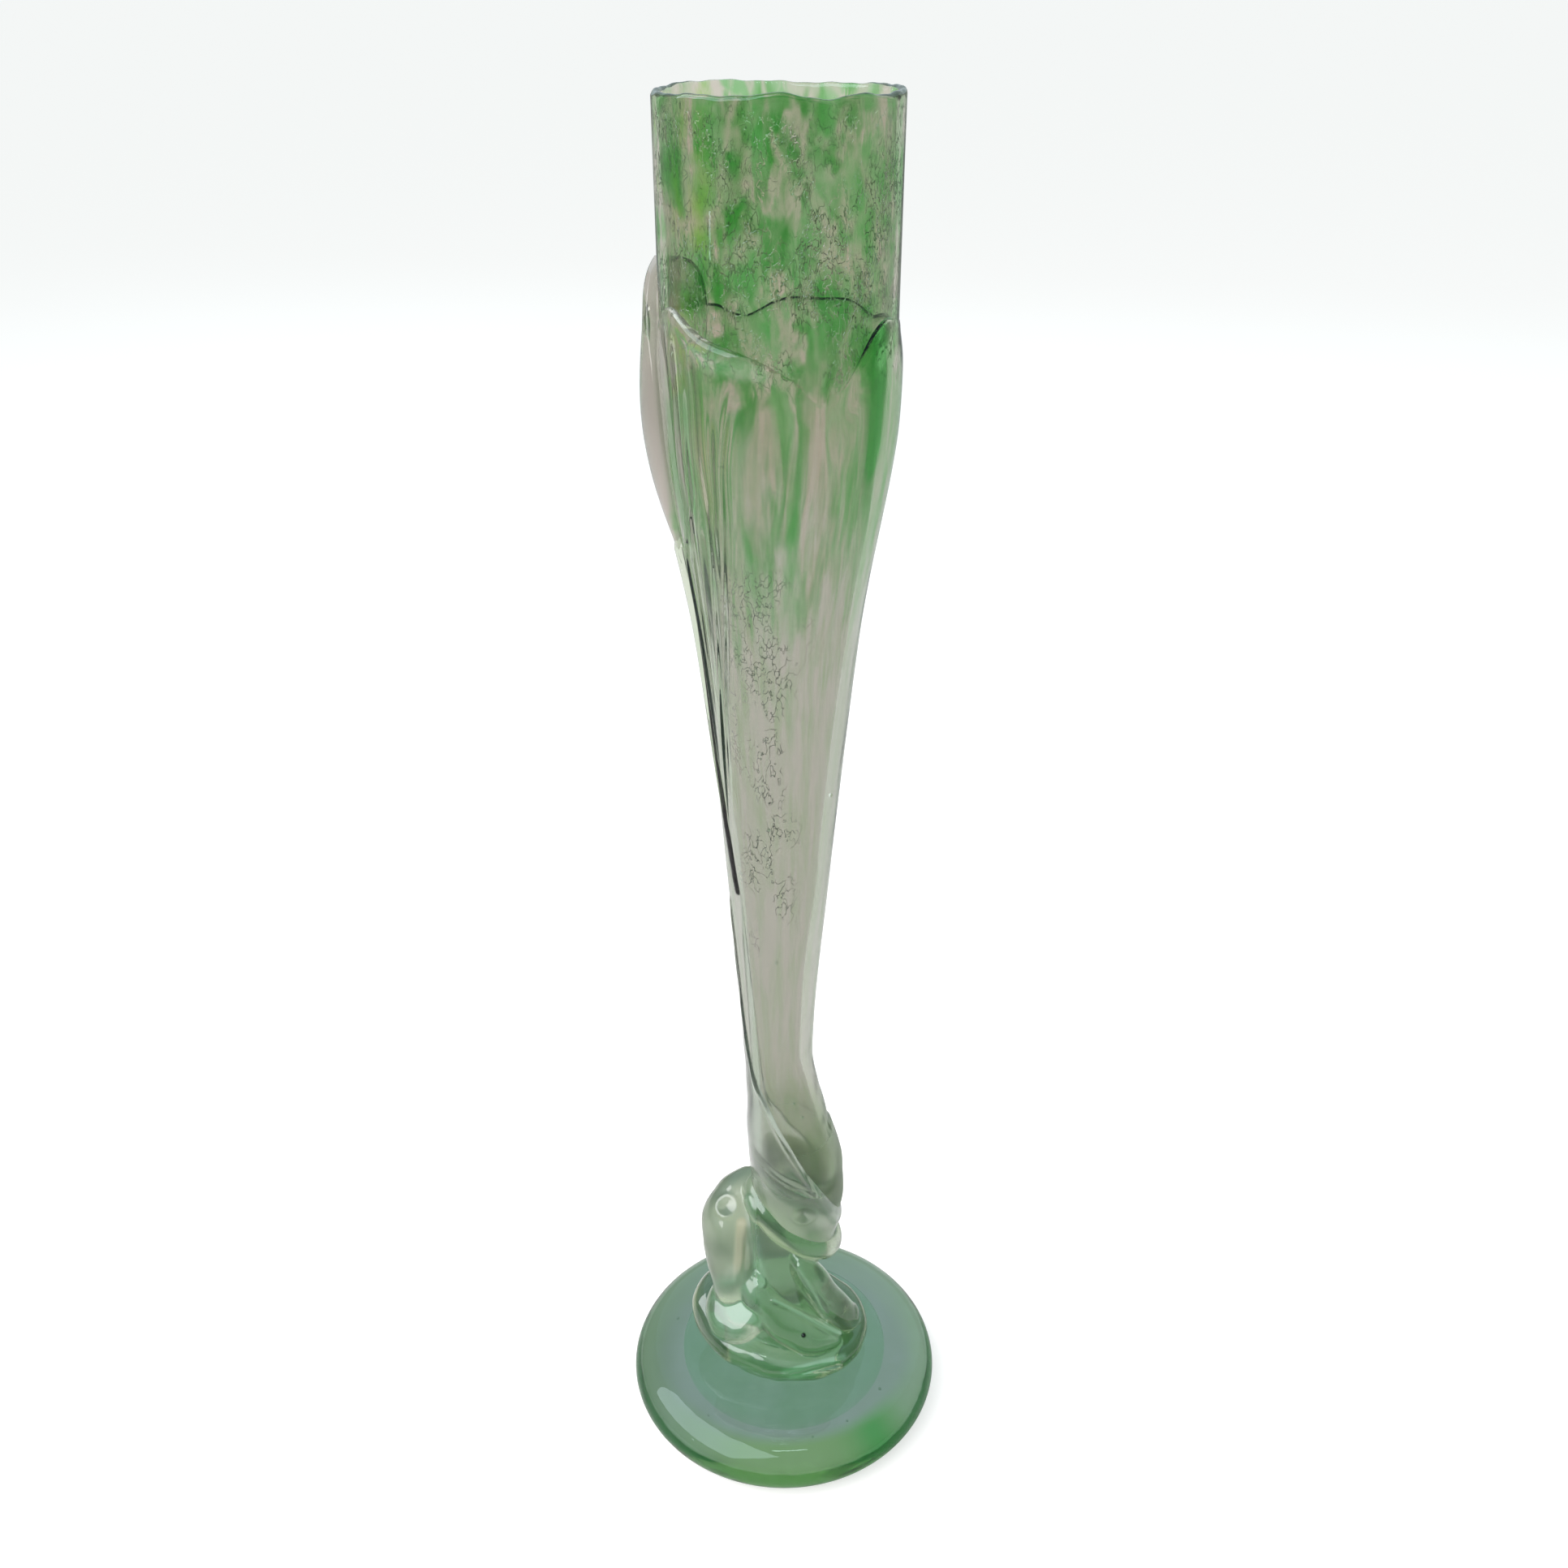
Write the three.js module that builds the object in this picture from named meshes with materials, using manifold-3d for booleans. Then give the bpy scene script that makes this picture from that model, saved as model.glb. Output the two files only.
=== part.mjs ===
// Tall hot-worked glass vase: a blown vessel in a petal-lipped calyx that ends in a solid bulb, on a coiled stem and
// a thick disc foot, with a side leaf, a trail and a wrap of glass. Each gather of glass is a solid of its own,
// seated on the one that carries it. Millimetres, +Z up. The origin is the centre of the foot's underside, and the
// front of the vase faces -Y. Angles are in degrees, from +X towards +Y, so -90 is the front and 180 is the left.
import * as THREE from "three";
import { mergeVertices } from "three/addons/utils/BufferGeometryUtils.js";
import Module from "manifold-3d";

const wasm = await Module();
wasm.setup();

// Seats
const SEAT_GAP = 0.3; // clearance between a gather and the one that it was laid on
const SUNK = 1; // how far a gather is drawn into its carrier before it is cut to its seat

// Foot
const FOOT_RADIUS = 50;
const FOOT_THICKNESS = 18;
const FOOT_EDGE_DEPTH = 11; // how far the round edge reaches in from the rim
const FOOT_DOME = 1.2; // rise of the top face above the round edge
const PONTIL_RADIUS = 11; // the ground hollow in the middle of the underside
const PONTIL_DEPTH = 1.6;
const CORE_MARGIN = 5.4; // clear glass between the green disc and the round edge
const CORE_THICKNESS = 9;
const FOOT_FLAT_RADIUS = FOOT_RADIUS - FOOT_EDGE_DEPTH;
const CORE_RADIUS = FOOT_FLAT_RADIUS - CORE_MARGIN;

// Lengths up the vase, each from the top of the one before
const STEM_LENGTH = 57;
const BULB_RISE = 25; // from the bulb's underside to its widest place
const WAIST_RISE = 39;
const STALK_RISE = 61;
const TAPER_RISE = 71;
const SHOULDER_RISE = 51;
const LIP_RISE = 28.5;
const TUBE_SHOWN = 49.5; // what stands out of the calyx
const BULB_BASE_HEIGHT = FOOT_THICKNESS + STEM_LENGTH;
const BULB_HEIGHT = BULB_BASE_HEIGHT + BULB_RISE;
const WAIST_HEIGHT = BULB_HEIGHT + WAIST_RISE;
const STALK_HEIGHT = WAIST_HEIGHT + STALK_RISE;
const TAPER_HEIGHT = STALK_HEIGHT + TAPER_RISE;
const SHOULDER_HEIGHT = TAPER_HEIGHT + SHOULDER_RISE;
const LIP_HEIGHT = SHOULDER_HEIGHT + LIP_RISE;
const VASE_HEIGHT = LIP_HEIGHT + TUBE_SHOWN;

// Vessel
const VESSEL_AXIS_X = -1.2; // the vessel stands a little left of the foot's centre
const TUBE_RADIUS = 28.2;
const RIM_WALL = 1.9;
const STEM_WALL = 2.6;
const RIM_WAVE = 0.35;
const RIM_DIPS = [
  // angle, width and rise of the uneven places in the rim's front
  [-110, 16, -0.3],
  [-90, 7, 1],
  [-69, 8, -0.5],
  [-52, 12, 0.6],
];
const VESSEL_BOTTOM_RISE = 7; // from the bulb's underside to the vessel's round bottom
const BOTTOM_WALL = 5;
const VESSEL_BASE_HEIGHT = BULB_BASE_HEIGHT + VESSEL_BOTTOM_RISE;
const BORE_FLOOR_HEIGHT = VESSEL_BASE_HEIGHT + BOTTOM_WALL;

// Calyx, the second skin that holds the vessel and ends in a solid bulb
const CALYX_WALL = 1.2;
const SHOULDER_RADIUS = 28.6;
const TAPER_RADIUS = 20.7;
const STALK_RADIUS = 14.4;
const WAIST_RADIUS = 10.1;
const WAIST_SHIFT = -0.4; // sideways drift of the calyx's axis at the waist
const BULB_RADIUS = 14.8;
const BULB_SHIFT = 5;
const BULB_NECK_DRAW = 0.9; // how far the bulb's upper flank is drawn in
const BULB_NECK_DRIFT = -0.5; // and how far it leans back to the left
const BULB_BASE_RADIUS = 12.6;
const BULB_BASE_SHIFT = 3.8;
const BULB_TILT = 0.88; // fall of the bulb's underside towards the right, per mm across
const TILT_FADE = 8; // the tilt has gone this far below the waist
const VALLEY_ANGLE = -62;
const VALLEY_DEPTH = 10.8;
const VALLEY_WIDTH_LEFT = 36;
const VALLEY_WIDTH_RIGHT = 13;
const RIGHT_PETAL_RISE = 3.2;
const LEFT_PETAL_RISE = 5.8;
const RIGHT_PETAL_ANGLE = -30;
const LEFT_PETAL_ANGLE = -148;
const PETAL_WIDTH = 17;
const PLEAT_ANGLES = [-156, -139, -124, -111];
const PLEAT_LENGTH = 88.5;
const PLEAT_HEIGHT = 0.6;
const PLEAT_WIDTH = 4.2;
const PLEAT_GATHER = 0.55; // share of their spread that is left where they run out

// Side leaf and the trail below it
const LEAF_RISE = 12; // of its tip above the calyx's lip
const LEAF_LENGTH = 70.5;
const LEAF_TIP_ANGLE = 152;
const LEAF_FOOT_ANGLE = 190;
const LEAF_HALF_WIDTH = 38; // degrees, at its widest
const LEAF_FOOT_SHARE = 0.55; // how much narrower it is drawn towards its foot
const LEAF_SKEW = 1.35; // moves its widest place up
const LEAF_EDGE = 1.9;
const LEAF_WALL = 5;
const LEAF_FREE_FROM = 0.78; // the share of its height from which it stands free
const LEAF_LEAN = 2.4; // how far its tip leans away
const LEAF_TIP_HEIGHT = LIP_HEIGHT + LEAF_RISE;
const LEAF_FOOT_HEIGHT = LEAF_TIP_HEIGHT - LEAF_LENGTH;
const TRAIL_LAP = 8; // how far the trail runs up under the leaf
const TRAIL_LENGTH = 103;
const TRAIL_TOP_WIDTH = 5.6;
const TRAIL_END_WIDTH = 1.5;
const TRAIL_DEPTH = 2;
const TRAIL_TOP_HEIGHT = LEAF_FOOT_HEIGHT + TRAIL_LAP;
const TRAIL_END_HEIGHT = TRAIL_TOP_HEIGHT - TRAIL_LENGTH;

// Wrap of glass round the calyx's foot
const WRAP_TIP_RISE = 57; // of its pointed tip above the waist
const WRAP_TIP_ANGLE = -166;
const WRAP_FOOT_RISE = 3.5; // height of its lower edge above the bulb's underside
const WRAP_WALL = 1.3;
const WRAP_LIP = 2.5; // thickness of its rolled edge
const WRAP_ROLL = 5; // how far down the rolled edge thins to the wall
const WRAP_THIN = 0.5; // share of its thickness left on the right and at the tip
const WRAP_THIN_WIDTH = 60;
const WRAP_FOOT_HEIGHT = BULB_BASE_HEIGHT + WRAP_FOOT_RISE;
const WRAP_TIP_HEIGHT = WAIST_HEIGHT + WRAP_TIP_RISE;

// Upper coil, on the bulb's lower edge
const UPPER_COIL_RADIUS = 4.3;
const UPPER_COIL_SETBACK = 1.2;
const UPPER_COIL_DROP = 2;
const UPPER_COIL_START_ANGLE = 158;
const UPPER_COIL_END_ANGLE = 412;

// Stem core, which flares to a skirt on the foot, and the ropes of glass laid on it
const CORE_TOP_LAP = 11; // how far it runs up into the bulb
const CORE_TOP_RADIUS = 9.5;
const STEM_MID_RISE = 32; // of its middle above the foot
const STEM_MID_RADIUS = 13.4;
const STEM_MID_SHIFT = -2;
const STEM_TOP_SHIFT = 1;
const SKIRT_RISE = 14;
const SKIRT_TOP_RADIUS = 18.2;
const SKIRT_RADIUS = 20;
const STEM_TOP_HEIGHT = BULB_BASE_HEIGHT + CORE_TOP_LAP;
const BASE_COIL_RADIUS = 4.6;
const LEFT_LOOP_RADIUS = 8.6;
const LEFT_LOOP_FLATNESS = 0.93;
const RIGHT_ROOT_RADIUS = 5.2;
const FRONT_TWIST_RADIUS = 5.8;

// Facets
const RIM_TURNS = [25, 65, 115, 155]; // where the rings of the round rim lie, in degrees round its section
const DOME_TURNS = [25, 55]; // and those of a round bottom, from its pole
const VESSEL_SIDES = 36;
const VESSEL_ROWS = 16;
const BORE_ROWS = 13;
const ROWS_CROWDED = 1.5; // above 1, the rows of the vessel lie closer together towards its bottom
const CALYX_SIDES = 48;
const CALYX_ROWS = 17;
const WRAP_SIDES = 40;
const WRAP_ROWS = 5;
const LEAF_ROWS = 16;
const LEAF_COLUMNS = 12;
const STEM_SIDES = 32;
const STEM_ROWS = 8;
const ROPE_SIDES = 10;
const FOOT_SIDES = 48;
const FOOT_EDGE_STEPS = 10;
const BASE_COIL_STEPS = 34;
const UPPER_COIL_STEPS = 26;
const LEFT_LOOP_STEPS = 22;
const RIGHT_ROOT_STEPS = 16;
const FRONT_TWIST_STEPS = 20;
const TRAIL_STEPS = 26;

const radians = THREE.MathUtils.degToRad;
const clamp = THREE.MathUtils.clamp;
const smoothstep = THREE.MathUtils.smoothstep;
const lerp = THREE.MathUtils.lerp;

// A smooth function through [position, value] stations, which run upwards in position.
function through(stations) {
  const slope = stations.map((_, i) => {
    const a = stations[Math.max(i - 1, 0)];
    const b = stations[Math.min(i + 1, stations.length - 1)];
    return (b[1] - a[1]) / (b[0] - a[0]);
  });
  return (position) => {
    const last = stations.length - 1;
    const x = clamp(position, stations[0][0], stations[last][0]);
    const i = clamp(stations.findIndex((s) => s[0] > x) - 1, 0, last - 1);
    const k = x >= stations[last][0] ? last - 1 : i;
    const span = stations[k + 1][0] - stations[k][0];
    const t = (x - stations[k][0]) / span;
    const [p, q] = [stations[k][1], stations[k + 1][1]];
    const [m, n] = [slope[k] * span, slope[k + 1] * span];
    return (
      (2 * t ** 3 - 3 * t ** 2 + 1) * p +
      (t ** 3 - 2 * t ** 2 + t) * m +
      (3 * t ** 2 - 2 * t ** 3) * q +
      (t ** 3 - t ** 2) * n
    );
  };
}

// Smallest turn from one angle to another, in degrees.
const turnBetween = (a, b) => ((((a - b) % 360) + 540) % 360) - 180;

// A bump of height 1 at one angle, that dies away over a width in degrees.
const bumpAt = (angle, centre, width) =>
  Math.exp(-((turnBetween(angle, centre) / width) ** 2));

// The forms that several pieces follow

const calyxRadius = through([
  [BULB_BASE_HEIGHT, BULB_BASE_RADIUS],
  [BULB_HEIGHT, BULB_RADIUS],
  [(BULB_HEIGHT + WAIST_HEIGHT) / 2, (BULB_RADIUS + WAIST_RADIUS) / 2 - BULB_NECK_DRAW],
  [WAIST_HEIGHT, WAIST_RADIUS],
  [STALK_HEIGHT, STALK_RADIUS],
  [TAPER_HEIGHT, TAPER_RADIUS],
  [SHOULDER_HEIGHT, SHOULDER_RADIUS],
  [LIP_HEIGHT - RIGHT_PETAL_RISE, TUBE_RADIUS + SEAT_GAP + CALYX_WALL],
]);

const axisShift = through([
  [BULB_BASE_HEIGHT, BULB_BASE_SHIFT],
  [BULB_HEIGHT, BULB_SHIFT],
  [(BULB_HEIGHT + WAIST_HEIGHT) / 2, (BULB_SHIFT + WAIST_SHIFT) / 2 + BULB_NECK_DRIFT],
  [WAIST_HEIGHT, WAIST_SHIFT],
  [STALK_HEIGHT, WAIST_SHIFT / 2],
  [(STALK_HEIGHT + TAPER_HEIGHT) / 2, 0],
  [VASE_HEIGHT, 0],
]);

const axisTilt = (z) => BULB_TILT * (1 - smoothstep(z, BULB_BASE_HEIGHT, WAIST_HEIGHT - TILT_FADE));

// A point beside the calyx's outer surface: at an angle round its axis, at a height, and a distance out from it.
function besideCalyx(angle, z, out) {
  const a = radians(angle);
  const across = (calyxRadius(z) + out) * Math.cos(a);
  return new THREE.Vector3(
    VESSEL_AXIS_X + axisShift(z) + across,
    (calyxRadius(z) + out) * Math.sin(a),
    z - axisTilt(z) * across,
  );
}

function calyxLip(angle) {
  const left = turnBetween(angle, VALLEY_ANGLE) < 0;
  const width = left ? VALLEY_WIDTH_LEFT : VALLEY_WIDTH_RIGHT;
  return (
    LIP_HEIGHT -
    VALLEY_DEPTH * bumpAt(angle, VALLEY_ANGLE, width) +
    RIGHT_PETAL_RISE * bumpAt(angle, RIGHT_PETAL_ANGLE, PETAL_WIDTH) +
    LEFT_PETAL_RISE * bumpAt(angle, LEFT_PETAL_ANGLE, PETAL_WIDTH)
  );
}

// How far the pleats on the left stand out of the calyx. They draw together as they run down.
function pleats(angle, z) {
  const up = clamp(1 - (LIP_HEIGHT - z) / PLEAT_LENGTH, 0, 1);
  const ridges = PLEAT_ANGLES.reduce((sum, centre) => {
    const drawn = lerp(LEAF_FOOT_ANGLE - 360, centre, lerp(PLEAT_GATHER, 1, up));
    return sum + bumpAt(angle, drawn, PLEAT_WIDTH);
  }, 0);
  return PLEAT_HEIGHT * ridges * smoothstep(up, 0, 0.5);
}

// The wrap's upper edge, as a share of the way up to its tip, by degrees round from the tip: steep on the left, and
// a long fall across the front.
const wrapShare = through([
  [0, 1],
  [9, 0.69],
  [23, 0.51],
  [47, 0.42],
  [66, 0.33],
  [92, 0.22],
  [130, 0.13],
  [166, 0.115],
  [240, 0.15],
  [300, 0.29],
  [340, 0.68],
  [360, 1],
]);

// The foot's top: a low dome on its flat part, level with the round edge beyond it.
const footTop = (r) =>
  FOOT_THICKNESS + FOOT_DOME * Math.max(0, 1 - (r / FOOT_FLAT_RADIUS) ** 2);

const stemShift = through([
  [FOOT_THICKNESS, 0],
  [FOOT_THICKNESS + STEM_MID_RISE, STEM_MID_SHIFT],
  [STEM_TOP_HEIGHT, STEM_TOP_SHIFT],
]);

const stemRadius = through([
  [FOOT_THICKNESS, SKIRT_RADIUS],
  [FOOT_THICKNESS + SKIRT_RISE, SKIRT_TOP_RADIUS],
  [FOOT_THICKNESS + STEM_MID_RISE, STEM_MID_RADIUS],
  [STEM_TOP_HEIGHT, CORE_TOP_RADIUS],
]);

// A point beside the stem core: at an angle round its axis, at a height, and a distance out from it.
function besideStem(angle, z, out) {
  const r = stemRadius(z) + out;
  return new THREE.Vector3(
    stemShift(z) + r * Math.cos(radians(angle)),
    r * Math.sin(radians(angle)),
    z,
  );
}

// Making solids

// A closed solid from rings of points, each ring run in the same sense, with a point to close each end.
function skinned(rings, firstPole, lastPole) {
  const sides = rings[0].length;
  const points = [...rings.flat(), firstPole, lastPole];
  const first = points.length - 2;
  const faces = [];
  for (let k = 0; k < sides; k++) {
    const next = (k + 1) % sides;
    const top = (rings.length - 1) * sides;
    faces.push(first, next, k, first + 1, top + k, top + next);
    for (let i = 0; i + 1 < rings.length; i++) {
      const [a, b] = [i * sides + k, i * sides + next];
      faces.push(a, b, b + sides, a, b + sides, a + sides);
    }
  }
  return outwards(points, faces);
}

// A closed ring of sections, such as a collar: section i at angle i, each one a closed loop of points.
function ringed(sections) {
  const size = sections[0].length;
  const faces = [];
  sections.forEach((_, i) => {
    const j = (i + 1) % sections.length;
    for (let k = 0; k < size; k++) {
      const next = (k + 1) % size;
      const [a, b] = [i * size + k, i * size + next];
      const [c, d] = [j * size + k, j * size + next];
      faces.push(a, c, d, a, d, b);
    }
  });
  return outwards(sections.flat(), faces);
}

// A solid of those faces, turned so that they point out.
function outwards(points, faces) {
  const vertProperties = new Float32Array(points.flatMap((p) => p.toArray()));
  let volume = 0;
  const edge = new THREE.Vector3();
  for (let i = 0; i < faces.length; i += 3) {
    const [a, b, c] = [points[faces[i]], points[faces[i + 1]], points[faces[i + 2]]];
    volume += a.dot(edge.crossVectors(b, c));
  }
  const facing = volume < 0 ? [...faces].reverse() : faces;
  return new wasm.Manifold(
    new wasm.Mesh({ numProp: 3, vertProperties, triVerts: new Uint32Array(facing) }),
  );
}

// A three.js geometry as a solid to cut with.
function solidOf(geometry) {
  const bare = geometry.clone();
  bare.deleteAttribute("normal");
  bare.deleteAttribute("uv");
  const merged = mergeVertices(bare, 1e-4);
  return new wasm.Manifold(
    new wasm.Mesh({
      numProp: 3,
      vertProperties: new Float32Array(merged.attributes.position.array),
      triVerts: new Uint32Array(merged.index.array),
    }),
  );
}

// A solid of revolution about +Z from a profile of [radius, height] that starts and ends on the axis.
function turned(profile, sides) {
  const outline = profile.map(([r, z]) => new THREE.Vector2(r, z));
  return solidOf(new THREE.LatheGeometry(outline, sides).rotateX(Math.PI / 2));
}

// An arc of a profile, from one angle to another about a centre.
function arc([r, z], [wide, high], from, to, steps) {
  return Array.from({ length: steps + 1 }, (_, i) => {
    const a = radians(lerp(from, to, i / steps));
    return [r + wide * Math.cos(a), z + high * Math.sin(a)];
  });
}

// A rope of glass through stations of { at, wide, deep }. Its section is an oval, wide along the stem and deep
// across it, and both ends are drawn to a round tip.
function rope(stations, steps, grow) {
  const places = stations.map((s) => s.at);
  const path = new THREE.CatmullRomCurve3(places, false, "centripetal");
  const along = (key) => through(stations.map((s, i) => [i / (stations.length - 1), s[key]]));
  const [wide, deep] = [along("wide"), along("deep")];
  const length = path.getLength();
  const rings = [];
  for (let i = 1; i < steps; i++) {
    const t = 0.5 - 0.5 * Math.cos((Math.PI * i) / steps);
    const even = lerp(i / steps, t, 0.5);
    const centre = path.getPoint(even);
    const tangent = path.getTangent(even);
    const out = new THREE.Vector3(centre.x, centre.y, 0).normalize();
    out.addScaledVector(tangent, -out.dot(tangent)).normalize();
    const side = new THREE.Vector3().crossVectors(tangent, out);
    const end = clamp((Math.min(even, 1 - even) * length) / wide(even), 0, 1);
    const round = Math.sqrt(end * (2 - end));
    rings.push(
      Array.from({ length: ROPE_SIDES }, (_, k) => {
        const a = (2 * Math.PI * k) / ROPE_SIDES;
        return centre
          .clone()
          .addScaledVector(out, (deep(even) * round + grow) * Math.cos(a))
          .addScaledVector(side, (wide(even) * round + grow) * Math.sin(a));
      }),
    );
  }
  const reach = (t, sign) =>
    path.getPoint(t).addScaledVector(path.getTangent(t), sign * grow);
  return skinned(rings, reach(0, -1), reach(1, 1));
}

// Pieces

function foot() {
  const half = FOOT_THICKNESS / 2;
  const pocket = CORE_RADIUS + SEAT_GAP;
  const floor = FOOT_THICKNESS - CORE_THICKNESS;
  return turned(
    [
      [0, PONTIL_DEPTH],
      [PONTIL_RADIUS * 0.6, PONTIL_DEPTH * 0.75],
      [PONTIL_RADIUS, 0],
      ...arc([FOOT_FLAT_RADIUS, half], [FOOT_EDGE_DEPTH, half], -90, 90, FOOT_EDGE_STEPS),
      [pocket, footTop(pocket)],
      [pocket, floor],
      [0, floor],
    ],
    FOOT_SIDES,
  );
}

function footCore() {
  const floor = FOOT_THICKNESS - CORE_THICKNESS + SEAT_GAP;
  return turned(
    [
      [0, floor],
      [CORE_RADIUS, floor],
      [CORE_RADIUS, footTop(CORE_RADIUS)],
      [CORE_RADIUS * 0.6, footTop(CORE_RADIUS * 0.6)],
      [0, footTop(0)],
    ],
    FOOT_SIDES,
  );
}

// Everything that stands on the foot is cut to its top face, so this is that face with the clearance on it.
function aboveFoot() {
  const radii = [FOOT_RADIUS, FOOT_FLAT_RADIUS, CORE_RADIUS, CORE_RADIUS * 0.6, 0];
  return turned(
    [[0, 0], [FOOT_RADIUS, 0], ...radii.map((r) => [r, footTop(r) + SEAT_GAP])],
    FOOT_SIDES,
  );
}

function calyxRing(sides, heightAt, outAt) {
  return Array.from({ length: sides }, (_, k) => {
    const angle = (360 * k) / sides;
    return besideCalyx(angle, heightAt(angle), outAt(angle));
  });
}

const heightsFrom = (from, to, count) =>
  Array.from({ length: count + 1 }, (_, i) => lerp(from, to, i / count));

const crowdedHeights = (low, high, count) =>
  heightsFrom(0, 1, count).map((share) => lerp(low, high, share ** ROWS_CROWDED));

// A point on the calyx's axis.
const onAxis = (z) => besideCalyx(0, z, -calyxRadius(z));

// The vessel fills the calyx, less the calyx's wall and the clearance, and is a plain tube above it.
const vesselOut = (z) =>
  Math.min(TUBE_RADIUS - calyxRadius(z), -CALYX_WALL - SEAT_GAP);

const vesselRadius = (z) => calyxRadius(z) + vesselOut(z);

const vesselRing = (z, out) => calyxRing(VESSEL_SIDES, () => z, () => out);

// The round end of a tube: two rings of a dome whose pole is at a height.
const domeRings = (pole, round) =>
  DOME_TURNS.map((turn) => {
    const z = pole + round * (1 - Math.cos(radians(turn)));
    return vesselRing(z, round * Math.sin(radians(turn)) - calyxRadius(z));
  });

// The vessel's outer form, from its round bottom to a height.
function vesselOutside(top, grow) {
  const round = vesselRadius(VESSEL_BASE_HEIGHT) + grow;
  const pole = VESSEL_BASE_HEIGHT - grow;
  const heights = crowdedHeights(pole + round, top, VESSEL_ROWS);
  return [...domeRings(pole, round), ...heights.map((z) => vesselRing(z, vesselOut(z) + grow))];
}

const vesselFilled = (grow) =>
  skinned(
    vesselOutside(VASE_HEIGHT, grow),
    onAxis(VESSEL_BASE_HEIGHT - grow),
    onAxis(VASE_HEIGHT),
  );

function vessel() {
  const wall = through([
    [BORE_FLOOR_HEIGHT, STEM_WALL],
    [SHOULDER_HEIGHT, RIM_WALL],
    [VASE_HEIGHT, RIM_WALL],
  ]);
  const wave = (angle) =>
    RIM_DIPS.reduce(
      (sum, [centre, width, rise]) => sum + rise * bumpAt(angle, centre, width),
      RIM_WAVE * Math.sin(radians(3 * angle + 60)),
    );
  const half = RIM_WALL / 2;
  const rimFoot = VASE_HEIGHT - half;
  const rim = RIM_TURNS.map((turn) => {
    const across = half * Math.cos(radians(turn)) - half;
    const ring = vesselRing(rimFoot, vesselOut(rimFoot) + across);
    ring.forEach((p, k) => (p.z += half * Math.sin(radians(turn)) + wave((360 * k) / VESSEL_SIDES)));
    return ring;
  });
  const round = vesselRadius(BORE_FLOOR_HEIGHT) - STEM_WALL;
  const inside = crowdedHeights(BORE_FLOOR_HEIGHT + round, rimFoot - RIM_WALL, BORE_ROWS).reverse();
  return skinned(
    [
      ...vesselOutside(rimFoot - RIM_WALL, 0),
      ...rim,
      ...inside.map((z) => vesselRing(z, vesselOut(z) - wall(z))),
      ...domeRings(BORE_FLOOR_HEIGHT, round).reverse(),
    ],
    onAxis(VESSEL_BASE_HEIGHT),
    onAxis(BORE_FLOOR_HEIGHT),
  );
}

// The calyx's outer form up to its lip, with no hollow. The later gathers are cut to it.
function calyxFilled(grow) {
  const rings = Array.from({ length: CALYX_ROWS + 1 }, (_, i) => {
    const under = (angle) => calyxLip(angle) - CALYX_WALL / 2;
    const heightAt = (angle) => lerp(BULB_BASE_HEIGHT, under(angle), i / CALYX_ROWS);
    return calyxRing(CALYX_SIDES, heightAt, (angle) => pleats(angle, heightAt(angle)) + grow);
  });
  rings[0].forEach((p) => (p.z -= grow));
  const lip = calyxRing(CALYX_SIDES, (angle) => calyxLip(angle) + grow, () => -CALYX_WALL / 2);
  const bottom = onAxis(BULB_BASE_HEIGHT);
  bottom.z -= grow;
  return skinned([...rings, lip], bottom, onAxis(LIP_HEIGHT));
}

const calyx = () => calyxFilled(0).subtract(vesselFilled(SEAT_GAP));

// The wrap is a thin skin on the calyx with a rolled upper edge, whose height changes as it goes round.
function lowerWrap(grow) {
  const sections = Array.from({ length: WRAP_SIDES }, (_, i) => {
    const angle = (360 * i) / WRAP_SIDES;
    const share = wrapShare((angle - WRAP_TIP_ANGLE + 360) % 360);
    const top = lerp(WRAP_FOOT_HEIGHT, WRAP_TIP_HEIGHT, share);
    const heights = heightsFrom(WRAP_FOOT_HEIGHT - grow, top - WRAP_LIP / 2, WRAP_ROWS);
    const thin = Math.max(bumpAt(angle, 0, WRAP_THIN_WIDTH), smoothstep(share, 0.5, 0.9));
    const roll = (z) => smoothstep(top - z, WRAP_LIP, WRAP_LIP + WRAP_ROLL);
    const wall = (z) => lerp(1, WRAP_THIN, thin) * lerp(WRAP_LIP, WRAP_WALL, roll(z));
    const outer = heights.map((z) => besideCalyx(angle, z, SEAT_GAP + wall(z) + grow));
    const lip = besideCalyx(angle, top + grow, SEAT_GAP + wall(top) / 2);
    const inner = heights.map((z) => besideCalyx(angle, z, -SUNK)).reverse();
    return [...outer, lip, ...inner];
  });
  return ringed(sections);
}

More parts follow.
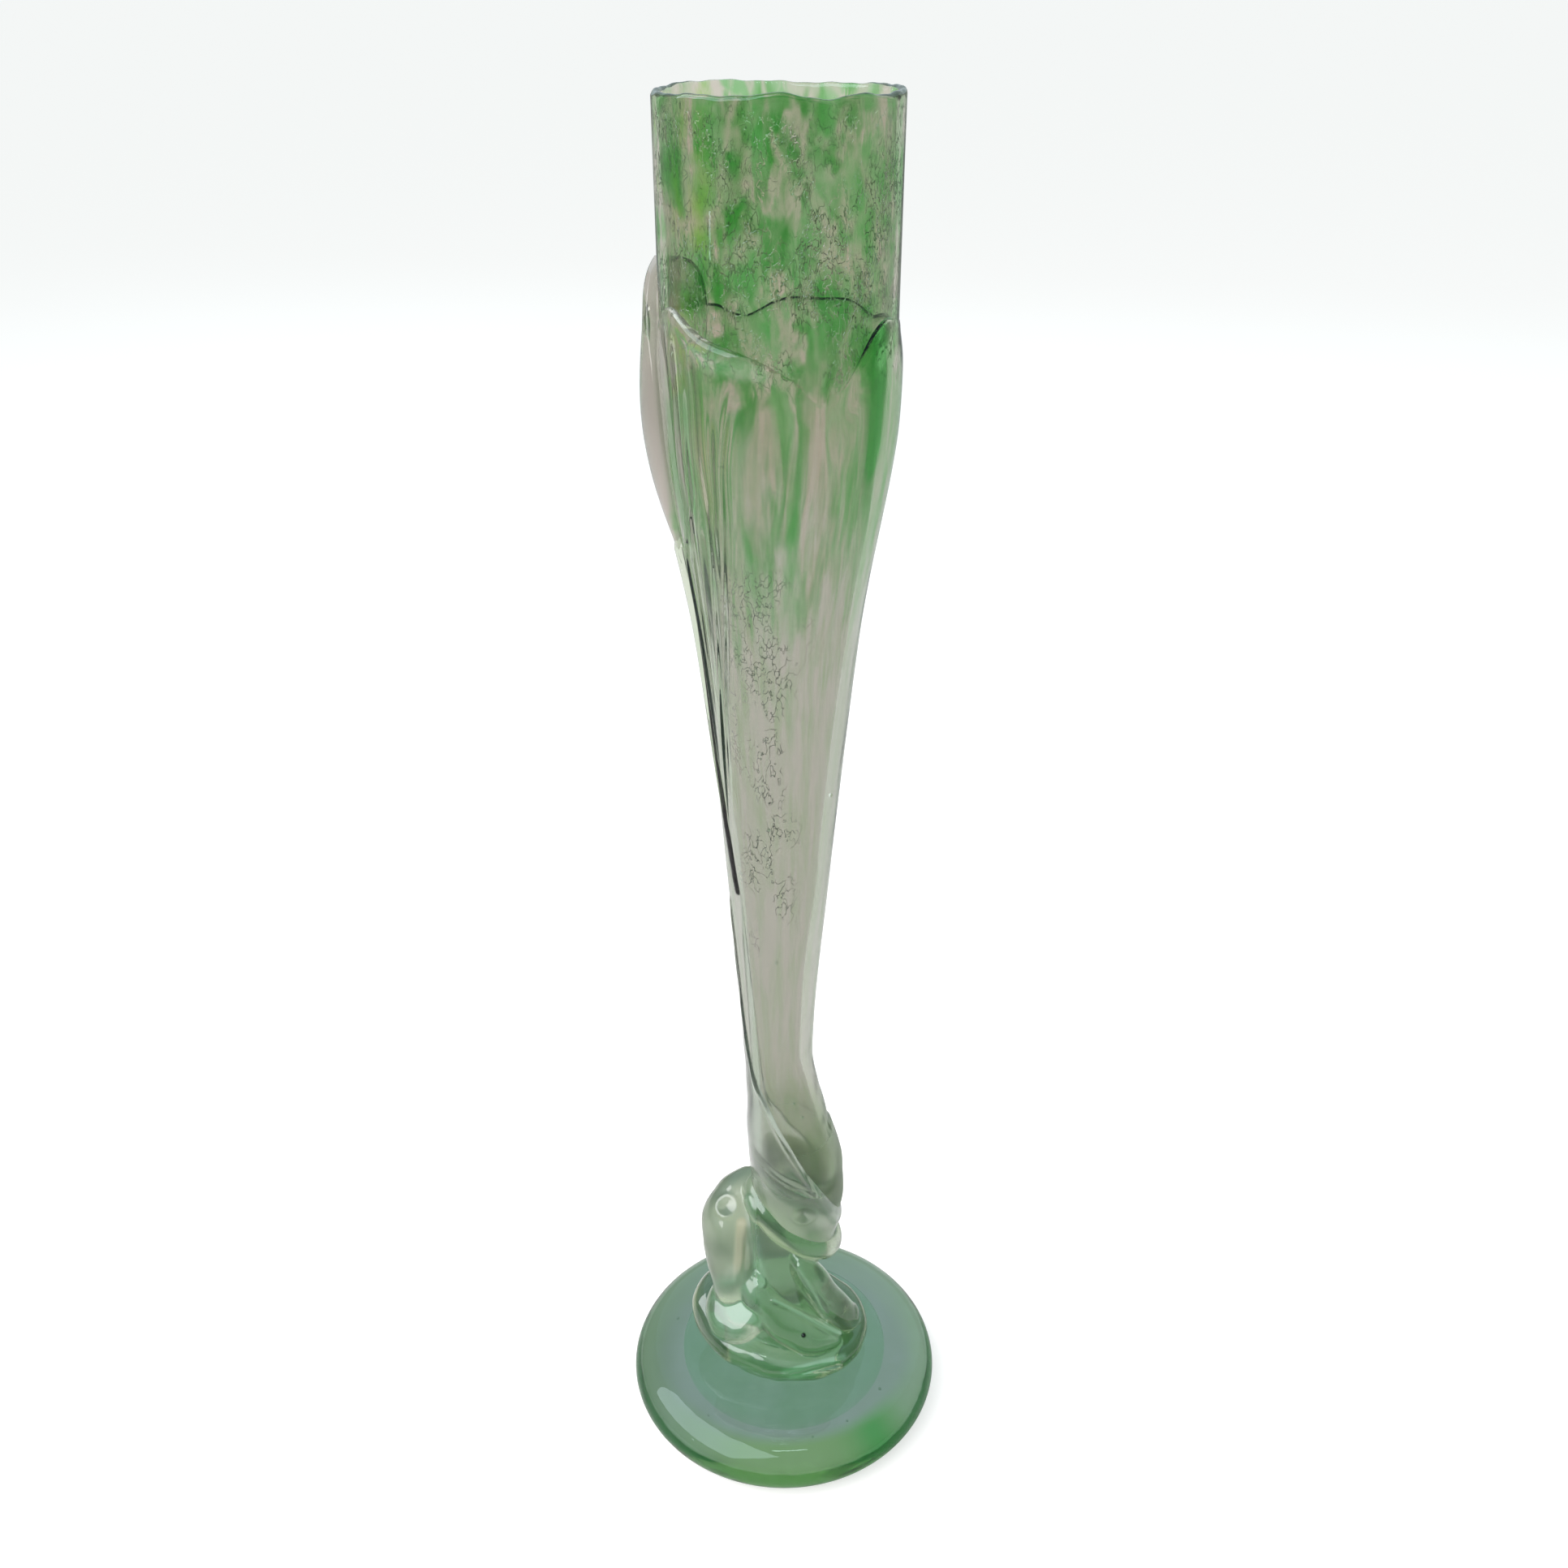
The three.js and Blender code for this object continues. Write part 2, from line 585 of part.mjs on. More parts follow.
// A pointed, cupped leaf: its edges lie on the calyx, its middle stands off it, and its tip rises past the lip.
function sideLeaf(grow) {
  const face = (offset) =>
    Array.from({ length: LEAF_ROWS + 1 }, (_, i) => {
      const v = i / LEAF_ROWS;
      const full = Math.sqrt(Math.sin(Math.PI * v ** LEAF_SKEW)) * lerp(LEAF_FOOT_SHARE, 1, v);
      const width = LEAF_HALF_WIDTH * full;
      const centre = lerp(LEAF_FOOT_ANGLE, LEAF_TIP_ANGLE, v);
      return Array.from({ length: LEAF_COLUMNS + 1 }, (_, j) => {
        const u = (2 * j) / LEAF_COLUMNS - 1;
        const z = lerp(LEAF_FOOT_HEIGHT - 2 * grow, LEAF_TIP_HEIGHT + grow, v);
        const wider = THREE.MathUtils.radToDeg((2 * grow) / calyxRadius(z));
        const angle = centre + u * (width + wider);
        const free = smoothstep(v, LEAF_FREE_FROM, 1) * (1 - u * u);
        const hump = Math.sqrt(1 - u * u) * Math.sin(Math.PI * v);
        return besideCalyx(angle, z, LEAF_LEAN * free - SUNK + offset(u, v, hump));
      });
    });
  const thick = (u, v, hump) => lerp(LEAF_EDGE, LEAF_WALL, hump) + grow;
  const [inner, outer] = [face(() => -grow), face(thick)];
  const loops = inner.slice(1, -1).map((row, i) => [...row, ...outer[i + 1].slice().reverse()]);
  const rib = LEAF_COLUMNS / 2;
  const middle = (i) => inner[i][rib].clone().add(outer[i][rib]).multiplyScalar(0.5);
  return skinned(loops, middle(0), middle(LEAF_ROWS));
}

// The leaf's tail, laid down the left of the vessel and drawn out to a thread with a round end.
function sideTrail(grow) {
  const turn = through([
    [0, 218],
    [0.26, 204],
    [0.46, 192],
    [0.68, 185],
    [1, 187],
  ]);
  const width = through([
    [0, TRAIL_END_WIDTH],
    [0.42, TRAIL_END_WIDTH * 1.5],
    [0.71, TRAIL_TOP_WIDTH * 0.62],
    [1, TRAIL_TOP_WIDTH],
  ]);
  const stations = heightsFrom(1, 0, 7).map((share) => ({
    at: besideCalyx(turn(share), lerp(TRAIL_END_HEIGHT, TRAIL_TOP_HEIGHT, share), 0),
    wide: width(share),
    deep: Math.min(TRAIL_DEPTH, width(share) * 0.75),
  }));
  return rope(stations, TRAIL_STEPS, grow);
}

function stemCore(grow) {
  const rings = heightsFrom(FOOT_THICKNESS - grow, STEM_TOP_HEIGHT, STEM_ROWS).map((z) =>
    Array.from({ length: STEM_SIDES }, (_, k) => besideStem((360 * k) / STEM_SIDES, z, grow)),
  );
  return skinned(
    rings,
    new THREE.Vector3(0, 0, FOOT_THICKNESS - grow),
    new THREE.Vector3(stemShift(STEM_TOP_HEIGHT), 0, STEM_TOP_HEIGHT + grow),
  );
}

// The ropes on the stem run through stations of their angle, their distance out from the stem core, their height
// and their share of the full radius.

function baseCoil(grow) {
  const stations = [
    // the height is in radii of the coil above the foot
    [114, -1.3, 3.5, 0.65],
    [146, 2.9, 3.6, 1],
    [180, 5.2, 3.3, 1.26],
    [213, 3.6, 2.6, 1.17],
    [247, 0.8, 2.2, 1.07],
    [277, 1.1, 1.75, 1.02],
    [306, 2.8, 1.5, 1],
    [335, 4.5, 1.35, 0.96],
    [365, 4.7, 1.26, 0.93],
    [399, 3.3, 1.22, 0.91],
    [434, 1.7, 1.22, 0.83],
    [467, 0.5, 1.3, 0.65],
  ].map(([angle, out, rise, share]) => ({
    at: besideStem(angle, FOOT_THICKNESS + BASE_COIL_RADIUS * rise, out),
    wide: BASE_COIL_RADIUS * share,
    deep: BASE_COIL_RADIUS * share,
  }));
  return rope(stations, BASE_COIL_STEPS, grow);
}

function upperCoil(grow) {
  const stations = heightsFrom(UPPER_COIL_START_ANGLE, UPPER_COIL_END_ANGLE, 9).map((angle) => {
    const at = besideCalyx(angle, BULB_BASE_HEIGHT, -UPPER_COIL_SETBACK);
    at.z -= UPPER_COIL_DROP;
    return { at, wide: UPPER_COIL_RADIUS, deep: UPPER_COIL_RADIUS };
  });
  return rope(stations, UPPER_COIL_STEPS, grow);
}

// A rope that climbs the stem: its heights are shares of the way from the foot to the bulb's underside.
function climbingRope(stations, radius, flatness, steps, grow) {
  const laid = stations.map(([angle, out, climb, share]) => ({
    at: besideStem(angle, FOOT_THICKNESS + STEM_LENGTH * climb, out),
    wide: radius * share,
    deep: radius * share * flatness,
  }));
  return rope(laid, steps, grow);
}

function leftLoop(grow) {
  const stations = [
    [113, -1.2, 1.02, 0.5],
    [147, 2.9, 1.03, 0.81],
    [176, 6.1, 0.97, 1],
    [195, 5.2, 0.84, 1],
    [208, 3.3, 0.65, 0.93],
    [217, 2.3, 0.47, 0.83],
    [223, 0.3, 0.32, 0.62],
  ];
  return climbingRope(stations, LEFT_LOOP_RADIUS, LEFT_LOOP_FLATNESS, LEFT_LOOP_STEPS, grow);
}

function rightRoot(grow) {
  const stations = [
    [297, -1, 0.84, 0.65],
    [313, 1.9, 0.68, 0.92],
    [326, 4.5, 0.5, 1],
    [338, 4.7, 0.33, 1],
    [350, 4.3, 0.2, 0.85],
  ];
  return climbingRope(stations, RIGHT_ROOT_RADIUS, 1, RIGHT_ROOT_STEPS, grow);
}

function frontTwist(grow) {
  const stations = [
    [220, 0.8, 0.7, 0.62],
    [247, 1.8, 0.57, 0.9],
    [270, 1.6, 0.44, 1],
    [294, 0.9, 0.32, 1],
    [316, 1.1, 0.24, 0.86],
    [333, 1.3, 0.18, 0.62],
  ];
  return climbingRope(stations, FRONT_TWIST_RADIUS, 1, FRONT_TWIST_STEPS, grow);
}

// Assembly

const clear = new THREE.MeshStandardMaterial({ color: "#b4b7a4", roughness: 0.05, metalness: 0 });
const paleGreen = new THREE.MeshStandardMaterial({ color: "#8fb38c", roughness: 0.06, metalness: 0 });
const green = new THREE.MeshStandardMaterial({ color: "#5f9f6c", roughness: 0.06, metalness: 0 });
const mottled = new THREE.MeshStandardMaterial({ color: "#7da06f", roughness: 0.07, metalness: 0 });

const vase = new THREE.Group();
vase.name = "vase";

function add(name, solid, material) {
  const { numProp, vertProperties, triVerts } = solid.getMesh();
  const geometry = new THREE.BufferGeometry();
  const points = new THREE.InterleavedBuffer(vertProperties, numProp);
  geometry.setAttribute("position", new THREE.InterleavedBufferAttribute(points, 3, 0));
  geometry.setIndex(new THREE.BufferAttribute(triVerts, 1));
  const flat = geometry.toNonIndexed();
  flat.computeVertexNormals();
  const mesh = new THREE.Mesh(flat, material);
  mesh.name = name;
  vase.add(mesh);
}

// The largest of the bodies that a cut leaves.
const largest = (solid) =>
  solid.decompose().reduce((best, body) => (body.volume() > best.volume() ? body : best));

// What lies in a gather's way is cut out of it, with the clearance, before it takes its own place.
const seats = [aboveFoot(), calyxFilled(SEAT_GAP)];

function lay(name, form, material) {
  add(name, largest(seats.reduce((left, seat) => left.subtract(seat), form(0))), material);
  seats.push(form(SEAT_GAP));
}

add("foot", foot(), paleGreen);
add("foot_core", footCore(), green);
add("vessel", vessel(), mottled);
add("calyx", calyx(), clear);

lay("lower_wrap", lowerWrap, clear);
lay("stem_core", stemCore, paleGreen);
lay("base_coil", baseCoil, paleGreen);
lay("upper_coil", upperCoil, paleGreen);
lay("left_loop", leftLoop, clear);
lay("right_root", rightRoot, paleGreen);
lay("front_twist", frontTwist, paleGreen);
lay("side_leaf", sideLeaf, clear);
lay("side_trail", sideTrail, clear);

export default vase;
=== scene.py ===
"""A tall hot-worked glass vase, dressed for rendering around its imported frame.

The vase is built gather by gather, as it was blown: a mottled vessel in a petal-lipped calyx, a leaf and
a trail at the left, a wrap at the foot of the calyx, a coiled stem and a thick disc foot. The sizes are
millimetres, and the meshes are put into metres as they are made. Angles are degrees from +X towards +Y.
"""

import logging
import math
from collections.abc import Callable
from dataclasses import dataclass, field
from enum import Enum

import bpy
import numpy as np
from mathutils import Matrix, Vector
from mathutils.bvhtree import BVHTree


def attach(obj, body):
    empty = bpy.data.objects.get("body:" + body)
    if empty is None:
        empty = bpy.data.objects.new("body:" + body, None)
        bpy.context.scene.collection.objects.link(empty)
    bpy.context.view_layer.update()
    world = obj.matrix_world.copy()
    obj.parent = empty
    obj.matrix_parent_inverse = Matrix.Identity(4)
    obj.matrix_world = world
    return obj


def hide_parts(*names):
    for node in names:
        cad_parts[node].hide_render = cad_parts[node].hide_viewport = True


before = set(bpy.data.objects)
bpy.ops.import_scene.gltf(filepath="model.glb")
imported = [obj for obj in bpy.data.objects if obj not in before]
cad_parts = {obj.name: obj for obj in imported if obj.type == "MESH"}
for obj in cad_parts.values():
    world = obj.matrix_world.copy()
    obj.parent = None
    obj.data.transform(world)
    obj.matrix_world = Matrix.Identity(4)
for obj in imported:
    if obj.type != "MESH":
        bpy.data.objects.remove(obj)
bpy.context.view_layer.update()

MM = 0.001
FRONT = -90
# Which way the camera looks at the stem.
SIGHT = (0, 0.67, -0.742)
GLASS_IOR = 1.36
LUSTRE_TINT = (0.72, 0.97, 1.0)
LOG = logging.getLogger("vase")

# How far pieces are measured from each other, in metres, and how wide a melted edge is, in millimetres.
NEAR = 0.002
FAR = 0.02
MELT_EDGE = 0.02

Points = np.ndarray


# Shape helpers


class Line:
    """A smooth line through stations of (position, value), which rise in position."""

    def __init__(self, *stations: tuple[float, float]) -> None:
        """Work out the slopes.

        Args:
            stations: The (position, value) pairs that the line runs through.
        """
        self.x = np.array([s[0] for s in stations], float)
        self.y = np.array([s[1] for s in stations], float)
        last = len(stations) - 1
        low = np.maximum(np.arange(last + 1) - 1, 0)
        high = np.minimum(np.arange(last + 1) + 1, last)
        self.slope = (self.y[high] - self.y[low]) / (self.x[high] - self.x[low])

    def __call__(self, position: Points | float) -> Points:
        """The line's value at positions.

        Args:
            position: One position or an array of them.

        Returns:
            The values there, held at the end stations past either end.
        """
        x = np.clip(position, self.x[0], self.x[-1])
        k = np.clip(np.searchsorted(self.x, x, side="right") - 1, 0, len(self.x) - 2)
        span = self.x[k + 1] - self.x[k]
        t = (x - self.x[k]) / span
        start = (2 * t**3 - 3 * t**2 + 1) * self.y[k] + (t**3 - 2 * t**2 + t) * self.slope[k] * span
        end = (3 * t**2 - 2 * t**3) * self.y[k + 1] + (t**3 - t**2) * self.slope[k + 1] * span
        return start + end


def lerp(a: Points | float, b: Points | float, share: Points | float) -> Points:
    """The value that lies a share of the way from a to b."""
    return a + (b - a) * share


def smoothstep(x: Points | float, low: float, high: float) -> Points:
    """0 below low, 1 above high, and a smooth rise between them."""
    t = np.clip((x - low) / (high - low), 0, 1)
    return t * t * (3 - 2 * t)


def turn_between(a: Points | float, b: Points | float) -> Points:
    """The smallest turn from angle b to angle a, in degrees."""
    return (np.asarray(a) - b + 180) % 360 - 180


def bump(angle: Points | float, centre: Points | float, width: float) -> Points:
    """A bump of height 1 at an angle, which dies away over a width in degrees."""
    return np.exp(-((turn_between(angle, centre) / width) ** 2))


def ripple(points: Points, pitch: float, seed: int) -> Points:
    """The smooth unevenness of hand-worked glass.

    Args:
        points: Places in millimetres, one a row.
        pitch: The usual distance between two crests.
        seed: Chooses the pattern.

    Returns:
        One height for each point, mostly between -1 and 1.
    """
    rng = np.random.default_rng(seed)
    waves = 7
    total = np.zeros(points.shape[:-1])
    for _ in range(waves):
        way = rng.normal(size=3)
        way /= np.linalg.norm(way)
        length = pitch * rng.uniform(0.7, 1.5)
        total += np.sin(points @ way * (2 * math.pi / length) + rng.uniform(0, 2 * math.pi))
    return total / math.sqrt(waves)


def at_angle(angle: Points | float, radius: Points | float) -> tuple[Points, Points]:
    """The x and y of a place at an angle and a radius."""
    a = np.radians(angle)
    return radius * np.cos(a), radius * np.sin(a)


# The form that the gathers share


@dataclass(frozen=True)
class VaseForm:
    """The sizes and surfaces that several gathers follow, in millimetres."""

    foot_radius: float = 50
    foot_thickness: float = 18
    foot_edge_depth: float = 11
    foot_dome: float = 1.2
    core_margin: float = 5.4
    stem_length: float = 57
    bulb_rise: float = 25
    waist_rise: float = 39
    stalk_rise: float = 61
    taper_rise: float = 71
    shoulder_rise: float = 51
    lip_rise: float = 28.5
    tube_shown: float = 49.5
    vessel_axis_x: float = -1.2
    tube_radius: float = 28.2
    calyx_wall: float = 1.5
    shoulder_radius: float = 28.6
    taper_radius: float = 20.7
    stalk_radius: float = 14.4
    waist_radius: float = 10.1
    waist_shift: float = -0.4
    bulb_radius: float = 14.8
    bulb_shift: float = 5
    bulb_neck_draw: float = 0.9
    bulb_neck_drift: float = -0.5
    bulb_base_radius: float = 12.6
    bulb_base_shift: float = 3.8
    bulb_tilt: float = 0.88
    tilt_fade: float = 8
    valley_angle: float = -62
    valley_depth: float = 10.8
    petal_width: float = 17
    right_petal_rise: float = 3.2
    vessel_bottom_rise: float = 7
    skirt_rise: float = 14
    stem_mid_rise: float = 32
    core_top_lap: float = 11
    foot_top: float = field(init=False)
    bulb_base: float = field(init=False)
    bulb: float = field(init=False)
    waist: float = field(init=False)
    stalk: float = field(init=False)
    taper: float = field(init=False)
    shoulder: float = field(init=False)
    lip_height: float = field(init=False)
    height: float = field(init=False)
    calyx_radius: Line = field(init=False)
    axis_shift: Line = field(init=False)
    stem_shift: Line = field(init=False)
    stem_radius: Line = field(init=False)

    @property
    def foot_flat(self) -> float:
        """The radius at which the foot's round edge starts."""
        return self.foot_radius - self.foot_edge_depth

    @property
    def vessel_base(self) -> float:
        """The height of the vessel's round bottom."""
        return self.bulb_base + self.vessel_bottom_rise

    def tilt(self, z: Points) -> Points:
        """The fall of the bulb's rings towards the right, per millimetre across."""
        return self.bulb_tilt * (1 - smoothstep(z, self.bulb_base, self.waist - self.tilt_fade))

    def on_axis(self, z: float) -> Points:
        """The point on the calyx's axis at a height."""
        return self.beside_calyx(0, z, -self.calyx_radius(z))

    def __post_init__(self) -> None:
        """Work out the heights and the lines that run through them."""
        heights = [self.foot_thickness, self.stem_length, self.bulb_rise, self.waist_rise, self.stalk_rise]
        heights += [self.taper_rise, self.shoulder_rise, self.lip_rise, self.tube_shown]
        names = ["foot_top", "bulb_base", "bulb", "waist", "stalk"]
        names += ["taper", "shoulder", "lip_height", "height"]
        for name, height in zip(names, np.cumsum(heights)):
            object.__setattr__(self, name, float(height))
        neck = (self.bulb + self.waist) / 2
        lines = {
            "calyx_radius": Line(
                (self.bulb_base, self.bulb_base_radius),
                (self.bulb, self.bulb_radius),
                (neck, (self.bulb_radius + self.waist_radius) / 2 - self.bulb_neck_draw),
                (self.waist, self.waist_radius),
                (self.stalk, self.stalk_radius),
                (self.taper, self.taper_radius),
                (self.shoulder, self.shoulder_radius),
                (self.lip_height - self.right_petal_rise, self.tube_radius + self.calyx_wall),
            ),
            "axis_shift": Line(
                (self.bulb_base, self.bulb_base_shift),
                (self.bulb, self.bulb_shift),
                (neck, (self.bulb_shift + self.waist_shift) / 2 + self.bulb_neck_drift),
                (self.waist, self.waist_shift),
                (self.stalk, self.waist_shift / 2),
                ((self.stalk + self.taper) / 2, 0),
                (self.height, 0),
            ),
            "stem_shift": Line(
                (self.foot_top, 0),
                (self.foot_top + self.stem_mid_rise, -2),
                (self.bulb_base + self.core_top_lap, 1),
            ),
            "stem_radius": Line(
                (self.foot_top, 20),
                (self.foot_top + self.skirt_rise, 18.2),
                (self.foot_top + self.stem_mid_rise, 13.4),
                (self.bulb_base + self.core_top_lap, 9.5),
            ),
        }
        for name, line in lines.items():
            object.__setattr__(self, name, line)

    def beside_calyx(self, angle: Points, z: Points, out: Points | float) -> Points:
        """Points beside the calyx's outer surface.

        Args:
            angle: Angles round the calyx's axis.
            z: Heights up that axis.
            out: Distances out from the surface.

        Returns:
            The points, in millimetres.
        """
        angle, z, out = np.broadcast_arrays(np.asarray(angle, float), z, out)
        across, depth = at_angle(angle, self.calyx_radius(z) + out)
        x = self.vessel_axis_x + self.axis_shift(z) + across
        return np.stack([x, depth, z - self.tilt(z) * across], -1)

    def beside_stem(self, angle: Points, z: Points, out: Points | float) -> Points:
        """Points beside the stem core's surface.

        Args:
            angle: Angles round the core.
            z: Heights.
            out: Distances out from the surface.

        Returns:
            The points, in millimetres.
        """
        angle, z, out = np.broadcast_arrays(np.asarray(angle, float), z, out)
        x, y = at_angle(angle, self.stem_radius(z) + out)
        return np.stack([x + self.stem_shift(z), y, z], -1)

    def lip(self, angle: Points) -> Points:
        """The calyx's wavy lip, with its valley in front, a petal at each side of it and a dipping back.

        Args:
            angle: Angles round the vase.

        Returns:
            The lip's heights there.
        """
        left = turn_between(angle, self.valley_angle) < 0
        valley = np.where(left, bump(angle, self.valley_angle, 36), bump(angle, self.valley_angle, 13))
        back = smoothstep(np.abs(turn_between(angle, FRONT)), 60, 90)
        return (
            self.lip_height
            - self.valley_depth * valley
            + self.right_petal_rise * bump(angle, -30, self.petal_width)
            + 5.8 * bump(angle, -148, self.petal_width)
            + 0.9 * bump(angle, 60, 24)
            - 3.4 * bump(angle, 108, 14)
            - 1.5 * bump(angle, 32, 8)
            + 0.3 * np.sin(np.radians(9 * angle + 20)) * back
        )

    def vessel_radius(self, z: Points) -> Points:
        """The blown vessel's outer radius, which fills the calyx and is a plain tube above it."""
        return np.minimum(self.tube_radius, self.calyx_radius(z) - self.calyx_wall)

    def foot_surface(self, radius: Points) -> Points:
        """The height of the foot's top face."""
        return self.foot_thickness + self.foot_dome * np.maximum(0, 1 - (radius / self.foot_flat) ** 2)


FORM = VaseForm()


# Making meshes


@dataclass
class Skin:
    """A closed skin: its points in millimetres and its faces."""

    points: Points
    faces: list


def skin_over(rings: Points, first: Points, last: Points) -> Skin:
    """Cover rings of points and close both ends with a point.

    Args:
        rings: Points as (ring, place round it, xyz).
        first: The point that closes the first ring.
        last: The point that closes the last ring.

    Returns:
        The closed skin, with its faces pointing out.
    """
    rows, sides, _ = rings.shape
    points = np.concatenate([rings.reshape(-1, 3), [first, last]])
    here = np.arange(sides)
    after = (here + 1) % sides
    start = (np.arange(rows - 1) * sides)[:, None]
    quads = np.stack([start + here, start + after, start + sides + after, start + sides + here], -1)
    pole = rows * sides
    top = (rows - 1) * sides
    near = np.stack([np.full(sides, pole), after, here], -1)
    far = np.stack([np.full(sides, pole + 1), top + here, top + after], -1)
    faces = quads.reshape(-1, 4).tolist() + near.tolist() + far.tolist()
    return facing_out(Skin(points, faces))


def skin_round(sections: Points) -> Skin:
    """Cover a ring of sections, each a closed loop of points.

    Args:
        sections: Points as (section, place in its loop, xyz).

    Returns:
        The closed skin, with its faces pointing out.
    """
    count, size, _ = sections.shape
    i = np.arange(count)[:, None]
    j = (i + 1) % count
    k = np.arange(size)
    n = (k + 1) % size
    quads = np.stack([i * size + k, j * size + k, j * size + n, i * size + n], -1)
    return facing_out(Skin(sections.reshape(-1, 3), quads.reshape(-1, 4).tolist()))


def facing_out(skin: Skin) -> Skin:
    """Turn a closed skin's faces over if they point in.

    Args:
        skin: The closed skin.

    Returns:
        The same skin, with its faces pointing out.
    """
    corners = np.array([face[:3] for face in skin.faces])
    fourth = np.array([face[3] if len(face) > 3 else face[2] for face in skin.faces])
    p = skin.points
    a, b, c, d = p[corners[:, 0]], p[corners[:, 1]], p[corners[:, 2]], p[fourth]
    volume = np.einsum("ij,ij->i", a, np.cross(b, c)).sum() + np.einsum("ij,ij->i", a, np.cross(c, d)).sum()
    if volume < 0:
        skin.faces = [face[::-1] for face in skin.faces]
    return skin


def mesh_object(name: str, skin: Skin, material: bpy.types.Material) -> bpy.types.Object:
    """Make a smooth object of a skin.

    Args:
        name: The piece's name.
        skin: The closed skin, in millimetres.
        material: Its finish.

    Returns:
        The object, at the origin, in metres.
    """
    mesh = bpy.data.meshes.new(name)
    mesh.from_pydata((skin.points * MM).tolist(), [], skin.faces)
    mesh.materials.append(material)
    mesh.shade_smooth()
    mesh.update()
    piece = bpy.data.objects.new(name, mesh)
    bpy.context.scene.collection.objects.link(piece)
    return piece


def points_of(mesh: bpy.types.Mesh, key: str = "co") -> Points:
    """A mesh's vertex places or normals.

    Args:
        mesh: The mesh.
        key: What is read: co for places, or normal.

    Returns:
        The vectors, one a row.
    """
    values = np.zeros(len(mesh.vertices) * 3)
    mesh.vertices.foreach_get(key, values)
    return values.reshape(-1, 3)


def bake(piece: bpy.types.Object) -> None:
    """Put a piece's modifiers into its mesh.

    Args:
        piece: The piece, which keeps its name.
    """
    bpy.context.view_layer.update()
    shape = bpy.data.meshes.new_from_object(piece.evaluated_get(bpy.context.evaluated_depsgraph_get()))
    piece.modifiers.clear()
    piece.data = shape
    shape.name = piece.name


def faces_of(piece: bpy.types.Object) -> BVHTree:
    """The tree that finds places on a piece's faces."""
    faces = [tuple(face.vertices) for face in piece.data.polygons]
    return BVHTree.FromPolygons([v.co for v in piece.data.vertices], faces)


def push(piece: bpy.types.Object, depth: Callable[[Points], Points]) -> None:
    """Move a piece's surface in or out along its normals.

    Args:
        piece: The piece to work.
        depth: Gives the distance out for places, all in millimetres.
    """
    places, normals = points_of(piece.data), points_of(piece.data, "normal")
    places = places + normals * depth(places / MM)[:, None] * MM
    piece.data.vertices.foreach_set("co", places.ravel())
    piece.data.update()


def paint(piece: bpy.types.Object, **masks: Callable[[Points], Points]) -> None:
    """Give a piece masks that its finish reads.

    Args:
        piece: The piece to paint.
        masks: For each mask, its values between 0 and 1 for places in millimetres.
    """
    places = points_of(piece.data) / MM
    for mask, values in masks.items():
        layer = piece.data.attributes.new(mask, "FLOAT", "POINT")
        layer.data.foreach_set("value", np.clip(values(places), 0, 1).astype(np.float32))


def angle_of(places: Points, centre: Points | float = FORM.vessel_axis_x) -> Points:
    """The angles of places round an upright axis at an x."""
    return np.degrees(np.arctan2(places[:, 1], places[:, 0] - centre))


def spot(places: Points, centre: tuple[float, float, float], radius: float) -> Points:
    """A soft round mask about a place."""
    return np.exp(-((np.linalg.norm(places - np.array(centre), axis=1) / radius) ** 2))


def stroke(places: Points, start: tuple, end: tuple, width: float) -> Points:
    """A soft mask along a straight line on the front, as it is seen from the front and above.

    Args:
        places: Places in millimetres.
        start: Where the line starts.
        end: Where it ends.
        width: How far the mask reaches from the line.

    Returns:
        The mask, 1 on the line.
    """
    sight = np.array(SIGHT)
    a, b = np.array(start, float), np.array(end, float)
    flat = places - a - ((places - a) @ sight)[:, None] * sight
    run = b - a - ((b - a) @ sight) * sight
    share = np.clip(flat @ run / (run @ run), 0, 1)
    away = np.linalg.norm(flat - share[:, None] * run, axis=1)
    return np.exp(-((away / width) ** 4)) * smoothstep(2 - places[:, 1], 0, 3)


def dimple(places: Points, centre: tuple[float, float, float], radius: float, depth: float) -> Points:
    """How far a tool's dimple presses a surface in, with the low ring that it raises."""
    away = np.linalg.norm(places - np.array(centre), axis=1) / radius
    return -depth * np.exp(-((away / 0.62) ** 2)) + 0.35 * depth * np.exp(-(((away - 1.15) / 0.3) ** 2))


def rounded_ends(path: Points, girth: Points) -> Points:
    """Draw both ends of a rope to a round tip.

    Args:
        path: The points along its middle.
        girth: Its radius at each of them.

    Returns:
        The new radius at each point.
    """
    step = np.linalg.norm(np.diff(path, axis=0), axis=1)
    along = np.concatenate([[0], np.cumsum(step)])
    near = np.minimum(along, along[-1] - along) / girth
    share = np.clip(near, 0, 1)
    return girth * np.sqrt(np.clip(share * (2 - share), 0.0004, 1))


def melt(name: str, parts: list[bpy.types.Object], grain: float, melting: int) -> bpy.types.Object:
    """Melt parts that overlap into one closed body.

    Args:
        name: The body's name.
        parts: The parts, which are used up.
        grain: The size of the new faces, in millimetres.
        melting: How many times the body is smoothed.

    Returns:
        The melted body.
    """
    points, faces = [], []
    for part in parts:
        start = sum(len(block) for block in points)
        points.append(points_of(part.data))
        faces += [[start + v for v in face.vertices] for face in part.data.polygons]
        glass = part.data.materials[0]
        bpy.data.objects.remove(part)
    body = mesh_object(name, Skin(np.concatenate(points) / MM, faces), glass)
    skin = body.modifiers.new("one skin", "REMESH")
    skin.mode = "VOXEL"
    skin.voxel_size = grain * MM
    skin.use_smooth_shade = True
    soft = body.modifiers.new("melted", "SMOOTH")
    soft.factor = 0.5
    soft.iterations = melting
    bake(body)
    return body


# Node helpers


